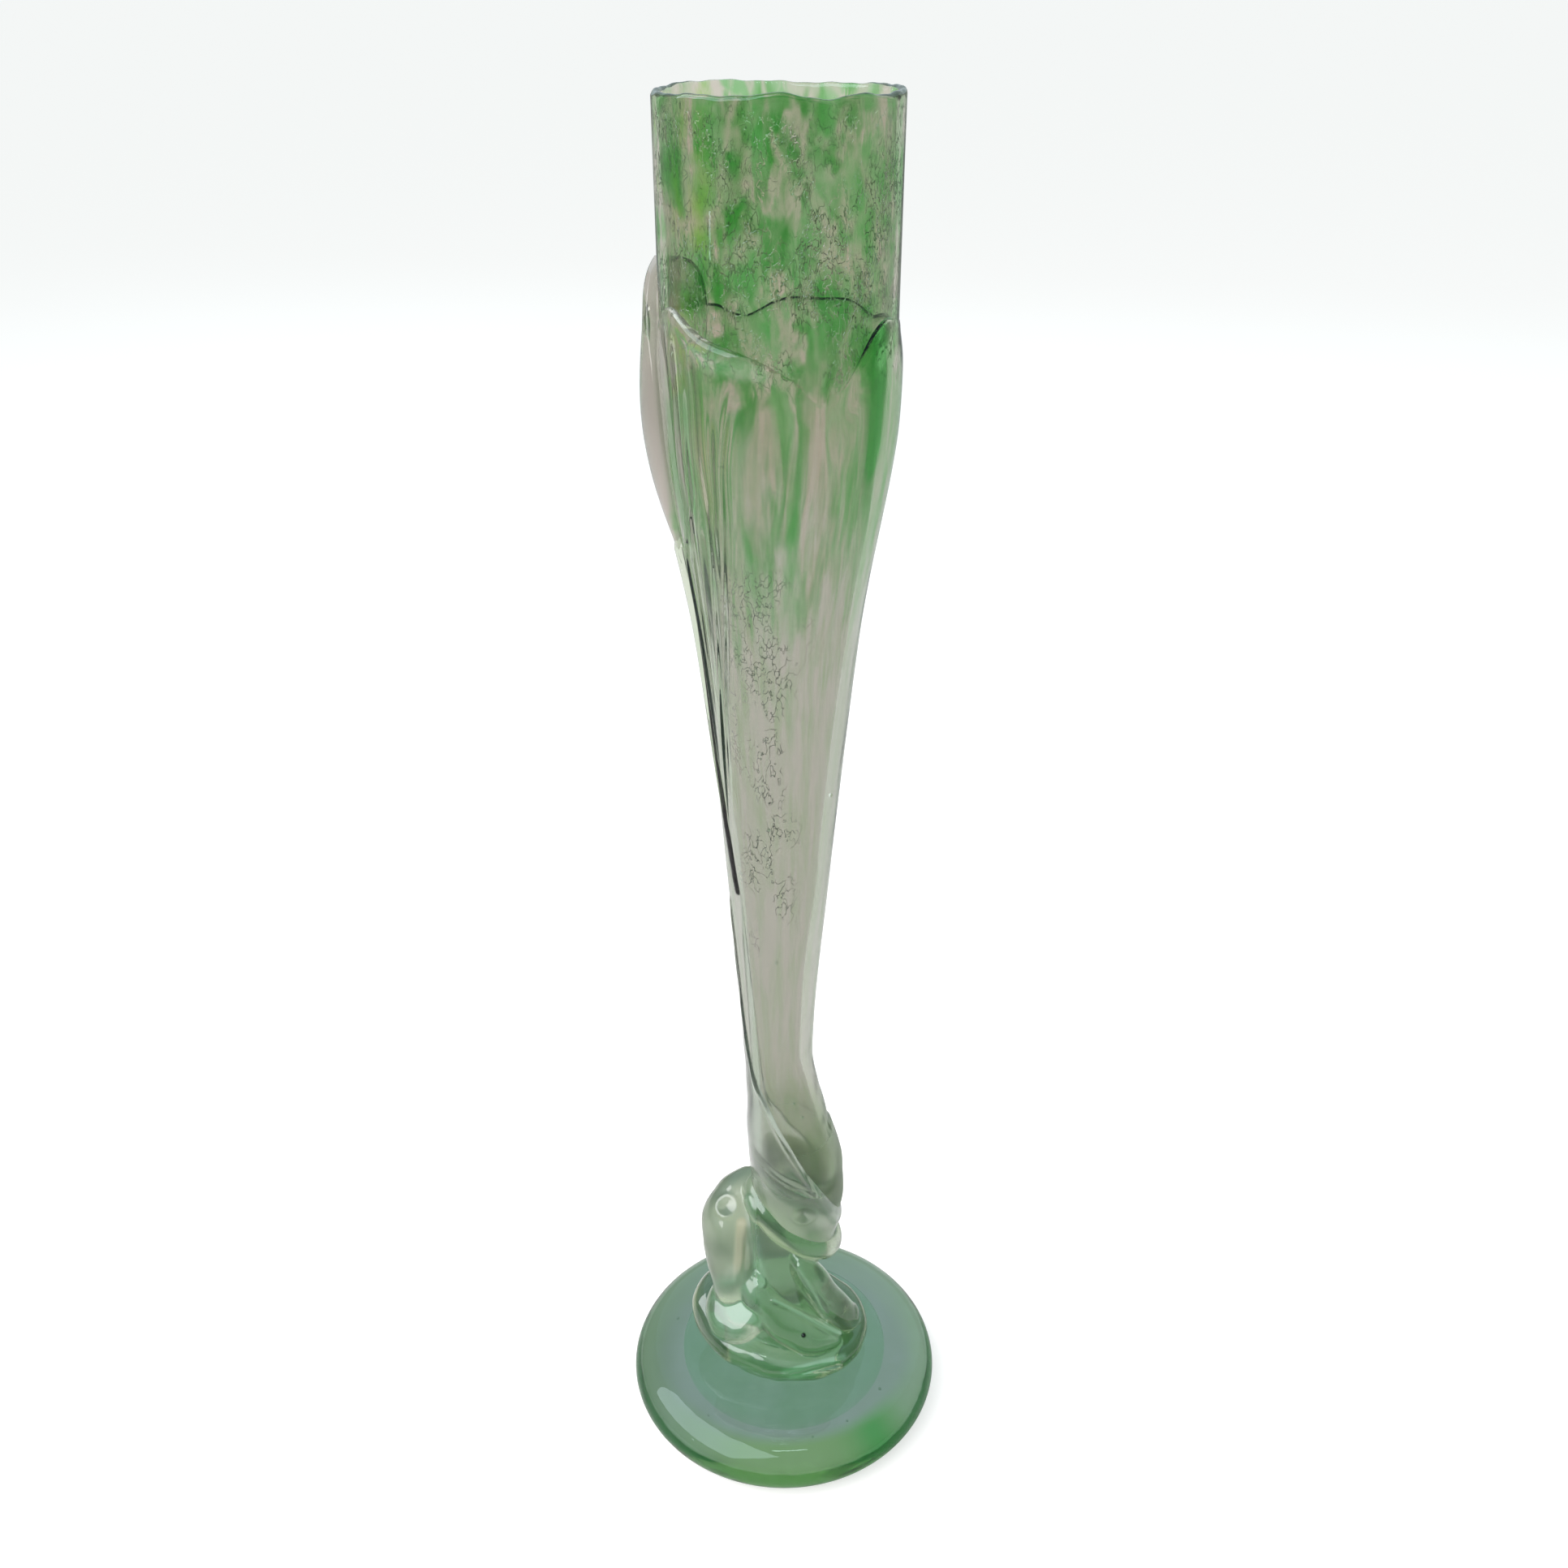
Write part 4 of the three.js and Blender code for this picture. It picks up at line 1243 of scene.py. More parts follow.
@dataclass
class BlownVessel:
    """The mottled tube, with its tapering stem and its round bottom, open at the rim."""

    rim_wall: float = 1.9
    stem_wall: float = 2.6
    bottom_wall: float = 5
    rim_wave: float = 0.35
    sides: int = 160
    rows: int = 190

    def rim_rise(self, angle: Points) -> Points:
        """How far the uneven rim stands above its usual height.

        Args:
            angle: Angles round the vessel's axis.

        Returns:
            The rises there.
        """
        rise = self.rim_wave * np.sin(np.radians(3 * angle + 60))
        for centre, width, height in ((-110, 16, -0.3), (-90, 7, 1), (-69, 8, -0.5), (-52, 12, 0.6)):
            rise = rise + height * bump(angle, centre, width)
        return rise + 0.12 * np.sin(np.radians(13 * angle)) + 0.08 * np.sin(np.radians(29 * angle + 40))

    def ring(self, angle: Points, z: float, radius: float) -> Points:
        """One ring of the wall about the vessel's axis."""
        return FORM.beside_calyx(angle, z, radius - FORM.calyx_radius(z))

    def dome(self, angle: Points, pole: float, radius: float) -> list[Points]:
        """The rings of a round end.

        Args:
            angle: The angles of each ring's points.
            pole: The pole's height.
            radius: The end's radius.

        Returns:
            The rings, from the pole outwards.
        """
        return [
            self.ring(angle, pole + radius * (1 - math.cos(t)), radius * math.sin(t))
            for t in np.radians([4, 10, 17, 25, 33, 41, 49, 57, 65, 73, 82])
        ]

    def shape(self) -> Skin:
        """Shape the vessel: up the outside, over the rim and down the bore.

        Returns:
            The closed skin.
        """
        angle = np.arange(self.sides) * 360 / self.sides
        base = FORM.vessel_base
        floor = base + self.bottom_wall
        wall = Line((floor, self.stem_wall), (FORM.shoulder, self.rim_wall), (FORM.height, self.rim_wall))
        outer_round = float(FORM.vessel_radius(base))
        bore_round = float(FORM.vessel_radius(floor)) - self.stem_wall
        half = self.rim_wall / 2
        shoulder = FORM.height - half
        outside = np.linspace(base + outer_round, shoulder, self.rows)
        inside = np.linspace(shoulder, floor + bore_round, self.rows)
        rings = self.dome(angle, base, outer_round)
        rings += [self.ring(angle, z, float(FORM.vessel_radius(z))) for z in outside]
        for t in np.radians(np.linspace(18, 162, 9)):
            across = half * math.cos(t) - half
            ring = self.ring(angle, shoulder, FORM.tube_radius + across)
            ring[:, 2] += half * math.sin(t)
            rings.append(ring)
        rings += [self.ring(angle, z, float(FORM.vessel_radius(z) - wall(z))) for z in inside]
        rings += self.dome(angle, floor, bore_round)[::-1]
        rings = np.array(rings)
        near_rim = smoothstep(rings[..., 2], FORM.height - 7, FORM.height - 0.5)
        rings[..., 2] += near_rim * self.rim_rise(angle)[None, :]
        rings = self.uneven(rings)
        return skin_over(rings, FORM.on_axis(base), FORM.on_axis(floor))

    def uneven(self, rings: Points) -> Points:
        """Make the blown wall slightly uneven across, and less so along.

        Args:
            rings: The wall's rings, as (ring, place round it, xyz).

        Returns:
            The rings, moved in and out.
        """
        squashed = rings * np.array([1, 1, 0.25])
        swell = 0.16 * ripple(squashed, 26, 3)
        axis = rings.mean(axis=1, keepdims=True)
        away = rings - axis
        away[..., 2] = 0
        away /= np.linalg.norm(away, axis=-1, keepdims=True) + 1e-9
        return rings + away * swell[..., None]

    def chill(self, places: Points) -> Points:
        """Where the wall is finely wrinkled, with painted shade in its creases: round the tube, and in a
        strip down the body's front.

        Args:
            places: Places in millimetres.

        Returns:
            The mask at each place.
        """
        angle, z = angle_of(places), places[:, 2]
        tube = smoothstep(z, 336, 352) * (1 - smoothstep(z, 392, 398)) * (0.45 + 0.55 * bump(angle, -80, 40))
        strip = bump(angle, -103, 24) * smoothstep(z, 168, 190) * (1 - smoothstep(z, 286, 300))
        return tube + strip

    def build(self, shop: Workshop) -> None:
        """Make the vessel.

        Args:
            shop: What the sub-assemblies share.
        """
        piece = mesh_object("vessel_glass", self.shape(), shop.glass["mottled"])
        paint(piece, chill=self.chill)
        shop.finish(piece, "vessel", "mottled_glass")


@dataclass
class PetalCalyx:
    """The skin that holds the vessel, with a wavy petal lip, folds down its left and a hollow bulb below."""

    rows: int = 225
    fold_sides: int = 118
    plain_sides: int = 142
    folds_from: float = -168
    folds_to: float = -98
    bed: float = 0.35
    fold_height: float = 0.55
    fold_width: float = 1.5
    roll_height: float = 1.1
    inner_reach: float = 0.4
    edge_sink: float = 0.25
    bore_rows: int = 70
    bulb_fade: tuple[float, float] = (108, 132)
    folds: tuple[Line, ...] = (
        Line(
            (205, -150), (240, -146), (272, -137), (303, -128.8), (325, -130), (340, -130.3), (352, -134.5)
        ),
        Line((225, -158), (262, -160), (293, -158.4), (306, -147), (315, -146), (333, -144.1), (354, -146)),
        Line((212, -147), (250, -138), (275, -129), (297, -122.2), (311, -119), (324, -116.9), (341, -111)),
        Line((240, -154), (272, -152), (306, -143.4), (315, -138.6), (345, -137)),
        Line((262, -134), (290, -127), (307, -125), (315, -122.9), (337, -121)),
    )

    def angles(self) -> Points:
        """The angles of the columns, which crowd where the folds are.

        Returns:
            The angles, in rising order.
        """
        fine = np.linspace(self.folds_from, self.folds_to, self.fold_sides, endpoint=False)
        wide = np.linspace(self.folds_to, self.folds_from + 360, self.plain_sides, endpoint=False)
        return np.concatenate([fine, wide])

    def fold(self, line: Line, angle: Points, z: Points, width: float, beside: float = 0) -> Points:
        """A mask that is 1 along a fold and fades at its ends."""
        ends = smoothstep(z, line.x[0], line.x[0] + 45) * (1 - smoothstep(z, line.x[-1] - 10, line.x[-1]))
        return bump(angle, line(z) + beside, width) * ends

    def back(self, angle: Points) -> Points:
        """A mask of the vase's back."""
        return smoothstep(np.abs(turn_between(angle, FRONT)), 92, 112)

    def relief(self, angle: Points, z: Points) -> Points:
        """How far the folds and the rolled lip stand out.

        Args:
            angle: Angles round the calyx.
            z: Heights.

        Returns:
            The distances out.
        """
        total = np.zeros(np.broadcast(angle, z).shape)
        for line in self.folds:
            total += self.fold_height * self.fold(line, angle, z, self.fold_width)
            total -= 0.4 * self.fold_height * self.fold(line, angle, z, 2.4, 4.4)
        drop = FORM.lip(angle) - z
        valley = smoothstep(angle, -110, -99) * (1 - smoothstep(angle, -70, -62))
        back = self.back(angle)
        petals = bump(angle, -122, 26) + 0.35 * bump(angle, -38, 14) + 0.4 * back
        thin = 1.32 * (1 - 0.5 * bump(angle, -138, 20)) * (1 - back) * np.exp(-((drop / 6) ** 2))
        thin = lerp(thin, 1.68 * np.exp(-((drop / 13) ** 2)), valley)
        return total - thin + self.roll_height * petals * np.exp(-(((drop - 2.4) / 1.9) ** 2))

    def shape(self) -> Skin:
        """Shape the calyx: up the outside, over the lip and down against the vessel.

        Returns:
            The closed skin.
        """
        angle = self.angles()
        lip = FORM.lip(angle)
        wall = FORM.calyx_wall
        rings = []
        for share in np.linspace(0, 1, self.rows):
            z = lerp(FORM.bulb_base, lip - wall, share)
            rings.append(FORM.beside_calyx(angle, z, self.relief(angle, z)))
        edge = self.relief(angle, lip - wall)
        for t in np.radians([18, 36, 54, 72, 90]):
            z = lip - wall * (1 - math.sin(t))
            out = edge * math.cos(t) - (wall + self.edge_sink) * (1 - math.cos(t))
            rings.append(FORM.beside_calyx(angle, z, out))
        floor = FORM.vessel_base + self.bed
        turn = float(FORM.vessel_radius(floor)) - self.bed
        for share in np.linspace(0.004, 1, self.bore_rows):
            z = lerp(lip - 0.6, floor + turn, share)
            out = FORM.vessel_radius(z) - self.bed - FORM.calyx_radius(z)
            rings.append(FORM.beside_calyx(angle, z, out))
        for t in np.radians([80, 68, 56, 44, 32, 20, 8]):
            z = floor + turn * (1 - math.cos(t))
            radius = (float(FORM.vessel_radius(floor + turn)) - self.bed) * math.sin(t)
            rings.append(FORM.beside_calyx(angle, z, radius - FORM.calyx_radius(z)))
        return skin_over(np.array(rings), FORM.on_axis(FORM.bulb_base - 0.4), FORM.on_axis(floor))

    def deep(self, places: Points) -> Points:
        """Where the glass is a deep green: the right petal, beside the folds and the bulb; and painted shade
        under the right petal's lip and down both sides.

        Args:
            places: Places in millimetres.

        Returns:
            The mask at each place.
        """
        angle, z = angle_of(places), places[:, 2]
        streak = bump(angle, Line((318, -42), (326, -41), (335, -40), (353, -37.5))(z), 6)
        streak = 1.8 * streak * smoothstep(z, 306, 328) * (1 - smoothstep(z, 352, 356.5))
        beside = sum(self.fold(line, angle, z, 1.5, -3.4) for line in self.folds[:3])
        # Painted shade along the right petal's edge under the lip.
        rim = bump(angle, -44, 8) * np.exp(-(((FORM.lip(angle) - z - 0.6) / 1.0) ** 2))
        bulb = 0.36 * (1 - smoothstep(z, *self.bulb_fade))
        # Painted shade down both sides, where the wall turns away from the front.
        sides = 0.2 * (bump(angle, -14, 14) + bump(angle, -162, 12)) * smoothstep(z, 150, 200)
        return streak + 0.2 * beside + 0.35 * rim + bulb + sides * (1 - smoothstep(z, 322, 345))

    def milky(self, places: Points) -> Points:
        """The pale patch of a caught reflection under the front-left lip.

        Args:
            places: Places in millimetres.

        Returns:
            The mask at each place.
        """
        angle, z = angle_of(places), places[:, 2]
        drop = FORM.lip(angle) - z
        centre = Line((-134, 3.9), (-114, 3.6), (-96, 2.2))(angle)
        half = Line((-134, 2.9), (-114, 2.3), (-96, 1.5))(angle)
        ends = smoothstep(angle, -136.5, -132.5) * (1 - smoothstep(angle, -99, -93))
        return np.exp(-(((drop - centre) / half) ** 4)) * ends

    def dark(self, places: Points) -> Points:
        """Painted shade in thin dark lines along the folds and the lip, and the bulb's duller glass.

        Args:
            places: Places in millimetres.

        Returns:
            The mask at each place.
        """
        angle, z = angle_of(places), places[:, 2]
        # Painted shade: dark lines beside the folds, and along the lip.
        lines = sum(self.fold(line, angle, z, 0.55, 1.3) for line in self.folds)
        back = self.back(angle)
        lip = 0.6 * bump(angle, -134, 22) + 0.15 * bump(angle, -42, 12) + back
        drop = FORM.lip(angle) - z - 0.4 * back
        bulb = 0.12 * (1 - smoothstep(z, *self.bulb_fade))
        return bulb + 0.6 * lines + lip * np.exp(-((drop / lerp(0.5, 0.95, back)) ** 2))

    def cloud(self, places: Points) -> Points:
        """The bulb's glass is cloudy, and clears up towards the waist."""
        z = places[:, 2]
        return 0.3 * (1 - smoothstep(z, 100, 145)) + 0.14 * (1 - smoothstep(z, 88, 100))

    def tan(self, places: Points) -> Points:
        """The warm patch between the left folds, and the bulb's faint warmth.

        Args:
            places: Places in millimetres.

        Returns:
            The mask at each place.
        """
        angle, z = angle_of(places), places[:, 2]
        patch = 0.6 * bump(angle, -127, 4.5) * smoothstep(z, 300, 314) * (1 - smoothstep(z, 324, 345))
        return patch + 0.12 * (1 - smoothstep(z, 112, 136))

    def worked(self, places: Points) -> Points:
        """The slow unevenness of the bulb and the body, and the dimple in the bulb's front.

        Args:
            places: Places in millimetres.

        Returns:
            The distances out for push, 0 inside the wall.
        """
        body = 0.14 * ripple(places * np.array([1, 1, 0.3]), 24, 8)
        bulb = 0.3 * ripple(places, 15, 21) * (1 - smoothstep(places[:, 2], 95, 135))
        mark = dimple(places, (6, -14, 86), 3.2, 1.0)
        away = np.hypot(places[:, 0] - FORM.vessel_axis_x - FORM.axis_shift(places[:, 2]), places[:, 1])
        outer = away > FORM.vessel_radius(places[:, 2]) + self.inner_reach
        return (body + bulb + mark) * outer

    def build(self, shop: Workshop) -> None:
        """Make the calyx.

        Args:
            shop: What the sub-assemblies share.
        """
        piece = mesh_object("calyx_glass", self.shape(), shop.glass["streaked"])
        paint(piece, deep=self.deep, milky=self.milky, dark=self.dark, tan=self.tan, cloud=self.cloud)
        push(piece, self.worked)
        shop.finish(piece, "calyx", "clear_glass")


@dataclass
class FootWrap:
    """The thin second skin round the calyx's foot, whose rolled edge spirals down across the front."""

    tip_angle: float = -166
    tip_rise: float = 57
    foot_rise: float = 1.5
    wall: float = 1.2
    bead: float = 0.8
    bead_width: float = 2.9
    bed: float = 0.6
    sides: int = 300
    rows: int = 110
    edge: Line = Line(
        (0, 1), (9, 0.69), (23, 0.51), (47, 0.42), (66, 0.33), (92, 0.22),
        (130, 0.13), (166, 0.115), (240, 0.15), (300, 0.29), (340, 0.68), (360, 1),
    )

    def top(self, angle: Points) -> Points:
        """The height of the rolled edge at angles."""
        share = self.edge((angle - self.tip_angle) % 360)
        return lerp(FORM.bulb_base + self.foot_rise, FORM.waist + self.tip_rise, share)

    def shape(self) -> Skin:
        """Shape the wrap, one section at each angle.

        Returns:
            The closed skin.
        """
        sections = []
        crowd = np.linspace(0, 1, self.sides, endpoint=False)
        for angle in self.tip_angle + 360 * lerp(crowd, smoothstep(crowd, 0, 1), 0.55):
            top = float(self.top(angle))
            share = float(self.edge((angle - self.tip_angle) % 360))
            thin = max(float(bump(angle, 20, 50)), float(smoothstep(share, 0.26, 0.52)))
            steps = np.linspace(0, 1, self.rows)
            z = lerp(top, FORM.bulb_base + self.foot_rise, steps**1.5)[::-1]
            drop = top - z
            bead = self.bead * np.exp(-(((drop - self.bead_width) / self.bead_width) ** 2))
            near = np.clip(drop / lerp(2.2, 4.5, thin), 0, 1)
            ends = lerp(np.sqrt(near * (2 - near)), smoothstep(near, 0, 1), thin)
            outer = FORM.beside_calyx(angle, z, lerp(1, 0.33, thin) * (self.wall + bead) * ends)
            inner = FORM.beside_calyx(angle, z[::-3], -self.bed)
            sections.append(np.concatenate([outer, inner]))
        return skin_round(np.array(sections))

    def drop(self, places: Points) -> Points:
        """How far places lie below the rolled edge, measured up the calyx's tilted axis.

        Args:
            places: Places in millimetres.

        Returns:
            The distances below the edge.
        """
        z = places[:, 2].copy()
        for _ in range(3):
            across = places[:, 0] - FORM.vessel_axis_x - FORM.axis_shift(z)
            z = places[:, 2] + FORM.tilt(z) * across
        across = places[:, 0] - FORM.vessel_axis_x - FORM.axis_shift(z)
        angle = np.degrees(np.arctan2(places[:, 1], across))
        return self.top(angle) - z

    def milky(self, places: Points) -> Points:
        """The painted highlight along the rolled edge's bead across the front.

        Args:
            places: Places in millimetres.

        Returns:
            The mask at each place.
        """
        drop = self.drop(places)
        low = 1 - smoothstep(places[:, 2], 124, 136)
        return 0.85 * np.exp(-(((drop - 3.2) / 3.2) ** 4)) * low

    def deep(self, places: Points) -> Points:
        """A faint green all over, and a little more where the edge climbs the left."""
        return 0.08 + 0.06 * smoothstep(places[:, 2], 118, 128)

    def cloud(self, places: Points) -> Points:
        """The wrap is cloudiest where it closes round the bulb's foot."""
        return 0.45 * (1 - smoothstep(places[:, 2], 86, 102))

    def dark(self, places: Points) -> Points:
        """Painted shade: the thin dark line along the rolled edge, darkest where it climbs the left.

        Args:
            places: Places in millimetres.

        Returns:
            The mask at each place.
        """
        drop = self.drop(places)
        high = smoothstep(places[:, 2], 112, 132)
        return lerp(0.1, 0.3, high) * np.exp(-((drop / 0.45) ** 2))

    def build(self, shop: Workshop) -> None:
        """Make the wrap.

        Args:
            shop: What the sub-assemblies share.
        """
        piece = mesh_object("wrap_glass", self.shape(), shop.glass["wrap"])
        paint(piece, milky=self.milky, deep=self.deep, dark=self.dark, cloud=self.cloud)
        push(piece, lambda places: 0.15 * ripple(places, 16, 5) + dimple(places, (6, -15, 86), 3.2, 1.0))
        shop.finish(piece, "lower_wrap", "pale_green_glass")


@dataclass
class SideLeaf:
    """The clear leaf that stands off the calyx at the left, and the trail that it is drawn out to."""

    tip_rise: float = 12
    length: float = 70.5
    tip_angle: float = 152
    foot_angle: float = 190
    half_width: float = 38
    edge: float = 1.9
    wall: float = 5.4
    lean: float = 3.2
    free_from: float = 0.78
    rows: int = 130
    columns: int = 84
    trail_points: int = 260
    trail_heights: tuple[float, float] = (197, 300)
    trail_angle: Line = Line((0, 218), (0.26, 204), (0.46, 192), (0.68, 185), (1, 187))
    trail_girth: Line = Line((0, 1.5), (0.42, 2.0), (0.71, 3.0), (1, 4.6))

    def face(self, thickness: Callable[..., Points]) -> Points:
        """Lay out one face of the leaf.

        Args:
            thickness: Gives the distance out for places (u, v) and the hump there.

        Returns:
            The face's points, as (row, column, xyz).
        """
        v = (0.5 - 0.5 * np.cos(np.linspace(0, np.pi, self.rows + 1)))[:, None]
        u = np.sin(np.linspace(-np.pi / 2, np.pi / 2, self.columns + 1))[None, :]
        full = np.sqrt(np.sin(np.pi * np.clip(v, 0, 1) ** 1.35).clip(0)) * lerp(0.55, 1, v)
        top = FORM.lip_height + self.tip_rise
        z = lerp(top - self.length, top, v) + 0 * u
        angle = lerp(self.foot_angle, self.tip_angle, v) + u * self.half_width * full
        free = smoothstep(v, self.free_from, 1) * (1 - u * u)
        hump = np.sqrt(1 - u * u) * np.sin(np.pi * v)
        return FORM.beside_calyx(angle, z, self.lean * free - 1 + thickness(u, v, hump))

    def shape(self) -> Skin:
        """Shape the leaf of its two faces.

        Returns:
            The closed skin.
        """
        inner = self.face(lambda u, v, hump: 0 * hump)
        outer = self.face(lambda u, v, hump: lerp(self.edge, self.wall, hump))
        rings = np.concatenate([inner[1:-1], outer[1:-1, ::-1]], axis=1)
        middle = self.columns // 2
        poles = [(inner[i, middle] + outer[i, middle]) / 2 for i in (0, -1)]
        return skin_over(rings, *poles)

    def margin(self, places: Points) -> Points:
        """The painted shade in a thin dark line along the leaf's edge.

        Args:
            places: Places in millimetres.

        Returns:
            The mask at each place.
        """
        rim = self.face(lambda u, v, hump: 0.8 + 0 * hump)
        rim = np.concatenate([rim[:, 0], rim[:, -1]])
        away = np.min([np.linalg.norm(places - place, axis=1) for place in rim], axis=0)
        return np.exp(-((away / 1.2) ** 2))

    def build(self, shop: Workshop) -> None:
        """Make the leaf and the trail.

        Args:
            shop: What the sub-assemblies share.
        """
        leaf = mesh_object("leaf_glass", self.shape(), shop.glass["leaf"])
        # Painted shade along the leaf's edge.
        paint(leaf, dark=lambda places: 0.8 * self.margin(places))
        push(leaf, lambda places: 0.12 * ripple(places * np.array([1, 1, 0.4]), 14, 17))
        shop.finish(leaf, "side_leaf", "clear_glass")
        share = np.linspace(1, 0, self.trail_points)
        girth = self.trail_girth(share)
        z = lerp(*self.trail_heights, share)
        path = FORM.beside_calyx(self.trail_angle(share), z, 0.1 - 0.6 * girth)
        trail = shop.ropes.draw("trail_glass", path, rounded_ends(path, girth), shop.glass["clear"])
        shop.finish(trail, "side_trail", "clear_glass")


@dataclass
class CoiledStem:
    """The flared stem core and the ropes of glass coiled and looped on it, all melted into one body."""

    sides: int = 96
    rows: int = 120
    points: int = 220
    coil: float = 4.6
    grain: float = 0.44
    melting: int = 7
    upper_girth: float = 4.3
    spread_place: tuple[float, float, float] = (-13.5, -11.5, 45)
    spread_face: tuple[float, float, float] = (-0.42, -0.42, 0.8)
    spread_size: tuple[float, float] = (11.5, 5.5)
    # The path of the white streak, a painted highlight down the loop.
    streak: tuple = ((-11.2, -6, 83.4), (-7.2, -14, 56.1))
    ridges: tuple = (
        ((-13.5, -8, 74), (-14.5, -12, 53), 1.5, -0.45), ((-11.2, -6, 83.4), (-7.2, -14, 56.1), 1.7, 0.6),
        ((-3.1, -16, 50.8), (17.9, -14, 34.2), 1.1, 0.7), ((4.6, -12, 60.2), (12.9, -14, 42.3), 1.3, 0.5),
        ((23, -2, 42), (24.4, -4, 29.4), 1.1, 0.4), ((2.3, -24, 26.7), (18, -20, 26.8), 0.8, -0.4),
    )
    # Painted highlights: bright lines along the ridges and the base coil's front, as start, end, width and
    # share.
    pale_lines: tuple = (
        ((-3.1, -16, 50.8), (17.9, -14, 34.2), 0.6, 0.6), ((4.6, -12, 60.2), (12.9, -14, 42.3), 0.9, 0.5),
        ((23, -2, 42), (24.4, -4, 29.4), 0.8, 0.6), ((0, -24, 27.7), (19.2, -18, 27.8), 0.9, 1),
        ((2.3, -24, 25.6), (17.9, -20, 25.7), 0.85, 1),
    )
    base_coil: tuple = (
        (114, -1.3, 3.5, 0.65), (146, 2.9, 3.6, 1), (180, 5.2, 3.3, 1.26), (213, 3.6, 2.6, 1.17),
        (247, 0.8, 2.2, 1.07), (277, 1.1, 1.75, 1.02), (306, 2.8, 1.5, 1), (335, 4.5, 1.35, 0.96),
        (365, 4.7, 1.26, 0.93), (399, 3.3, 1.22, 0.91), (434, 1.7, 1.22, 0.83), (467, 0.5, 1.3, 0.65),
    )
    climbing: tuple = (
        (8.5, (
            (113, -1.2, 1.02, 0.5), (147, 2.9, 1.03, 0.81), (176, 6.1, 0.97, 1), (195, 5.2, 0.84, 1),
            (208, 3.3, 0.65, 0.9), (217, 1.6, 0.47, 0.7), (223, 0.3, 0.32, 0.5),
        )),
        (5.2, (
            (297, -1, 0.84, 0.65), (313, 1.9, 0.68, 0.92), (326, 4.5, 0.5, 1), (338, 4.7, 0.33, 1),
            (350, 4.3, 0.2, 0.85),
        )),
        (5.8, (
            (220, 0.8, 0.7, 0.62), (247, 1.8, 0.57, 0.9), (270, 1.6, 0.44, 1), (294, 0.9, 0.32, 1),
            (316, 1.1, 0.24, 0.86), (333, 1.3, 0.18, 0.62),
        )),
    )

    def through(self, laid: Points) -> Points:
        """Draw a smooth path through laid stations.

        Args:
            laid: The stations, one a row.

        Returns:
            The path's points.
        """
        reach = np.concatenate([[0], np.cumsum(np.sqrt(np.linalg.norm(np.diff(laid, axis=0), axis=1)))])
        where = np.linspace(0, reach[-1], self.points)
        return np.stack([Line(*zip(reach, laid[:, k]))(where) for k in range(3)], -1)

    def girth(self, shares: list[float], radius: float) -> Points:
        """The rope's radius at each point of its path."""
        places = np.linspace(0, 1, len(shares))
        return radius * Line(*zip(places, shares))(np.linspace(0, 1, self.points))

    def core(self) -> Skin:
        """Shape the solid column, with its skirt on the foot and shallow flutes that twist as they rise.

        Returns:
            The closed skin.
        """
        angle = np.arange(self.sides) * 360 / self.sides
        heights = np.linspace(FORM.foot_top - 1.2, FORM.bulb_base + FORM.core_top_lap, self.rows)
        rings = []
        for z in heights:
            turn = angle + 2.2 * (z - FORM.foot_top)
            flutes = 0.8 * np.cos(np.radians(3 * turn + 40)) + 0.4 * np.cos(np.radians(5 * turn + 130))
            fade = smoothstep(z, FORM.foot_top, FORM.foot_top + 10)
            rings.append(FORM.beside_stem(angle, z, flutes * fade))
        top = FORM.beside_stem(0, heights[-1], -9.5)
        return skin_over(np.array(rings), np.array([0, 0, heights[0]]), top)

    def spread(self) -> Skin:
        """Shape the flat foot of the loop, which spreads over the base coil and faces up to the left.

        Returns:
            The closed skin.
        """
        face = np.array(self.spread_face) / np.linalg.norm(self.spread_face)
        side = np.cross(face, (0, 0, 1))
        side /= np.linalg.norm(side)
        rise = np.cross(side, face)
        radius, thickness = self.spread_size
        angle = np.radians(np.arange(48) * 7.5)[:, None]
        rings = []
        for turn in np.radians(np.linspace(-80, 80, 17)):
            flat = radius * math.cos(turn) ** 0.4
            across = flat * (np.cos(angle) * side + 1.15 * np.sin(angle) * rise)
            rings.append(np.array(self.spread_place) + across + thickness * math.sin(turn) * face)
        ends = [np.array(self.spread_place) + k * thickness * face for k in (-1, 1)]
        return skin_over(np.array(rings), *ends)

    def ropes(self) -> list[tuple[Points, Points]]:
        """Lay the ropes.

        Returns:
            Each rope's path and its girth along it.
        """
        laid = []
        base = np.array(self.base_coil)
        z = FORM.foot_top + self.coil * base[:, 2]
        laid.append((FORM.beside_stem(base[:, 0], z, base[:, 1]), base, self.coil))
        angle = np.linspace(158, 412, 10)
        upper = FORM.beside_calyx(angle, FORM.bulb_base, -1.2) - np.array([0, 0, 2])
        laid.append((upper, np.ones((len(angle), 4)), self.upper_girth))
        for radius, stations in self.climbing:
            s = np.array(stations)
            z = FORM.foot_top + FORM.stem_length * s[:, 2]
            laid.append((FORM.beside_stem(s[:, 0], z, s[:, 1]), s, radius))
        return [(self.through(places), self.girth(list(s[:, 3]), radius)) for places, s, radius in laid]

    def worked(self, places: Points) -> Points:
        """The melted body's unevenness, its drawn ridges and the loop's dimple.

        Args:
            places: Places in millimetres.

        Returns:
            The distances out for push.
        """
        total = 0.1 * ripple(places, 9, 31) + 0.25 * ripple(places, 17, 32)
        for start, end, width, height in self.ridges:
            total = total + height * stroke(places, start, end, width)
        return total + dimple(places, (-18.2, -4.6, 80), 3, 1.2)

    def tan(self, places: Points) -> Points:
        """The warm streak in the loop, and a warm spot on the base coil."""
        streak = stroke(places, (-13.3, -8, 75.8), (-14.5, -12, 53.2), 1.7)
        return 0.8 * streak + 0.4 * spot(places, (-9, -19, 24), 6)

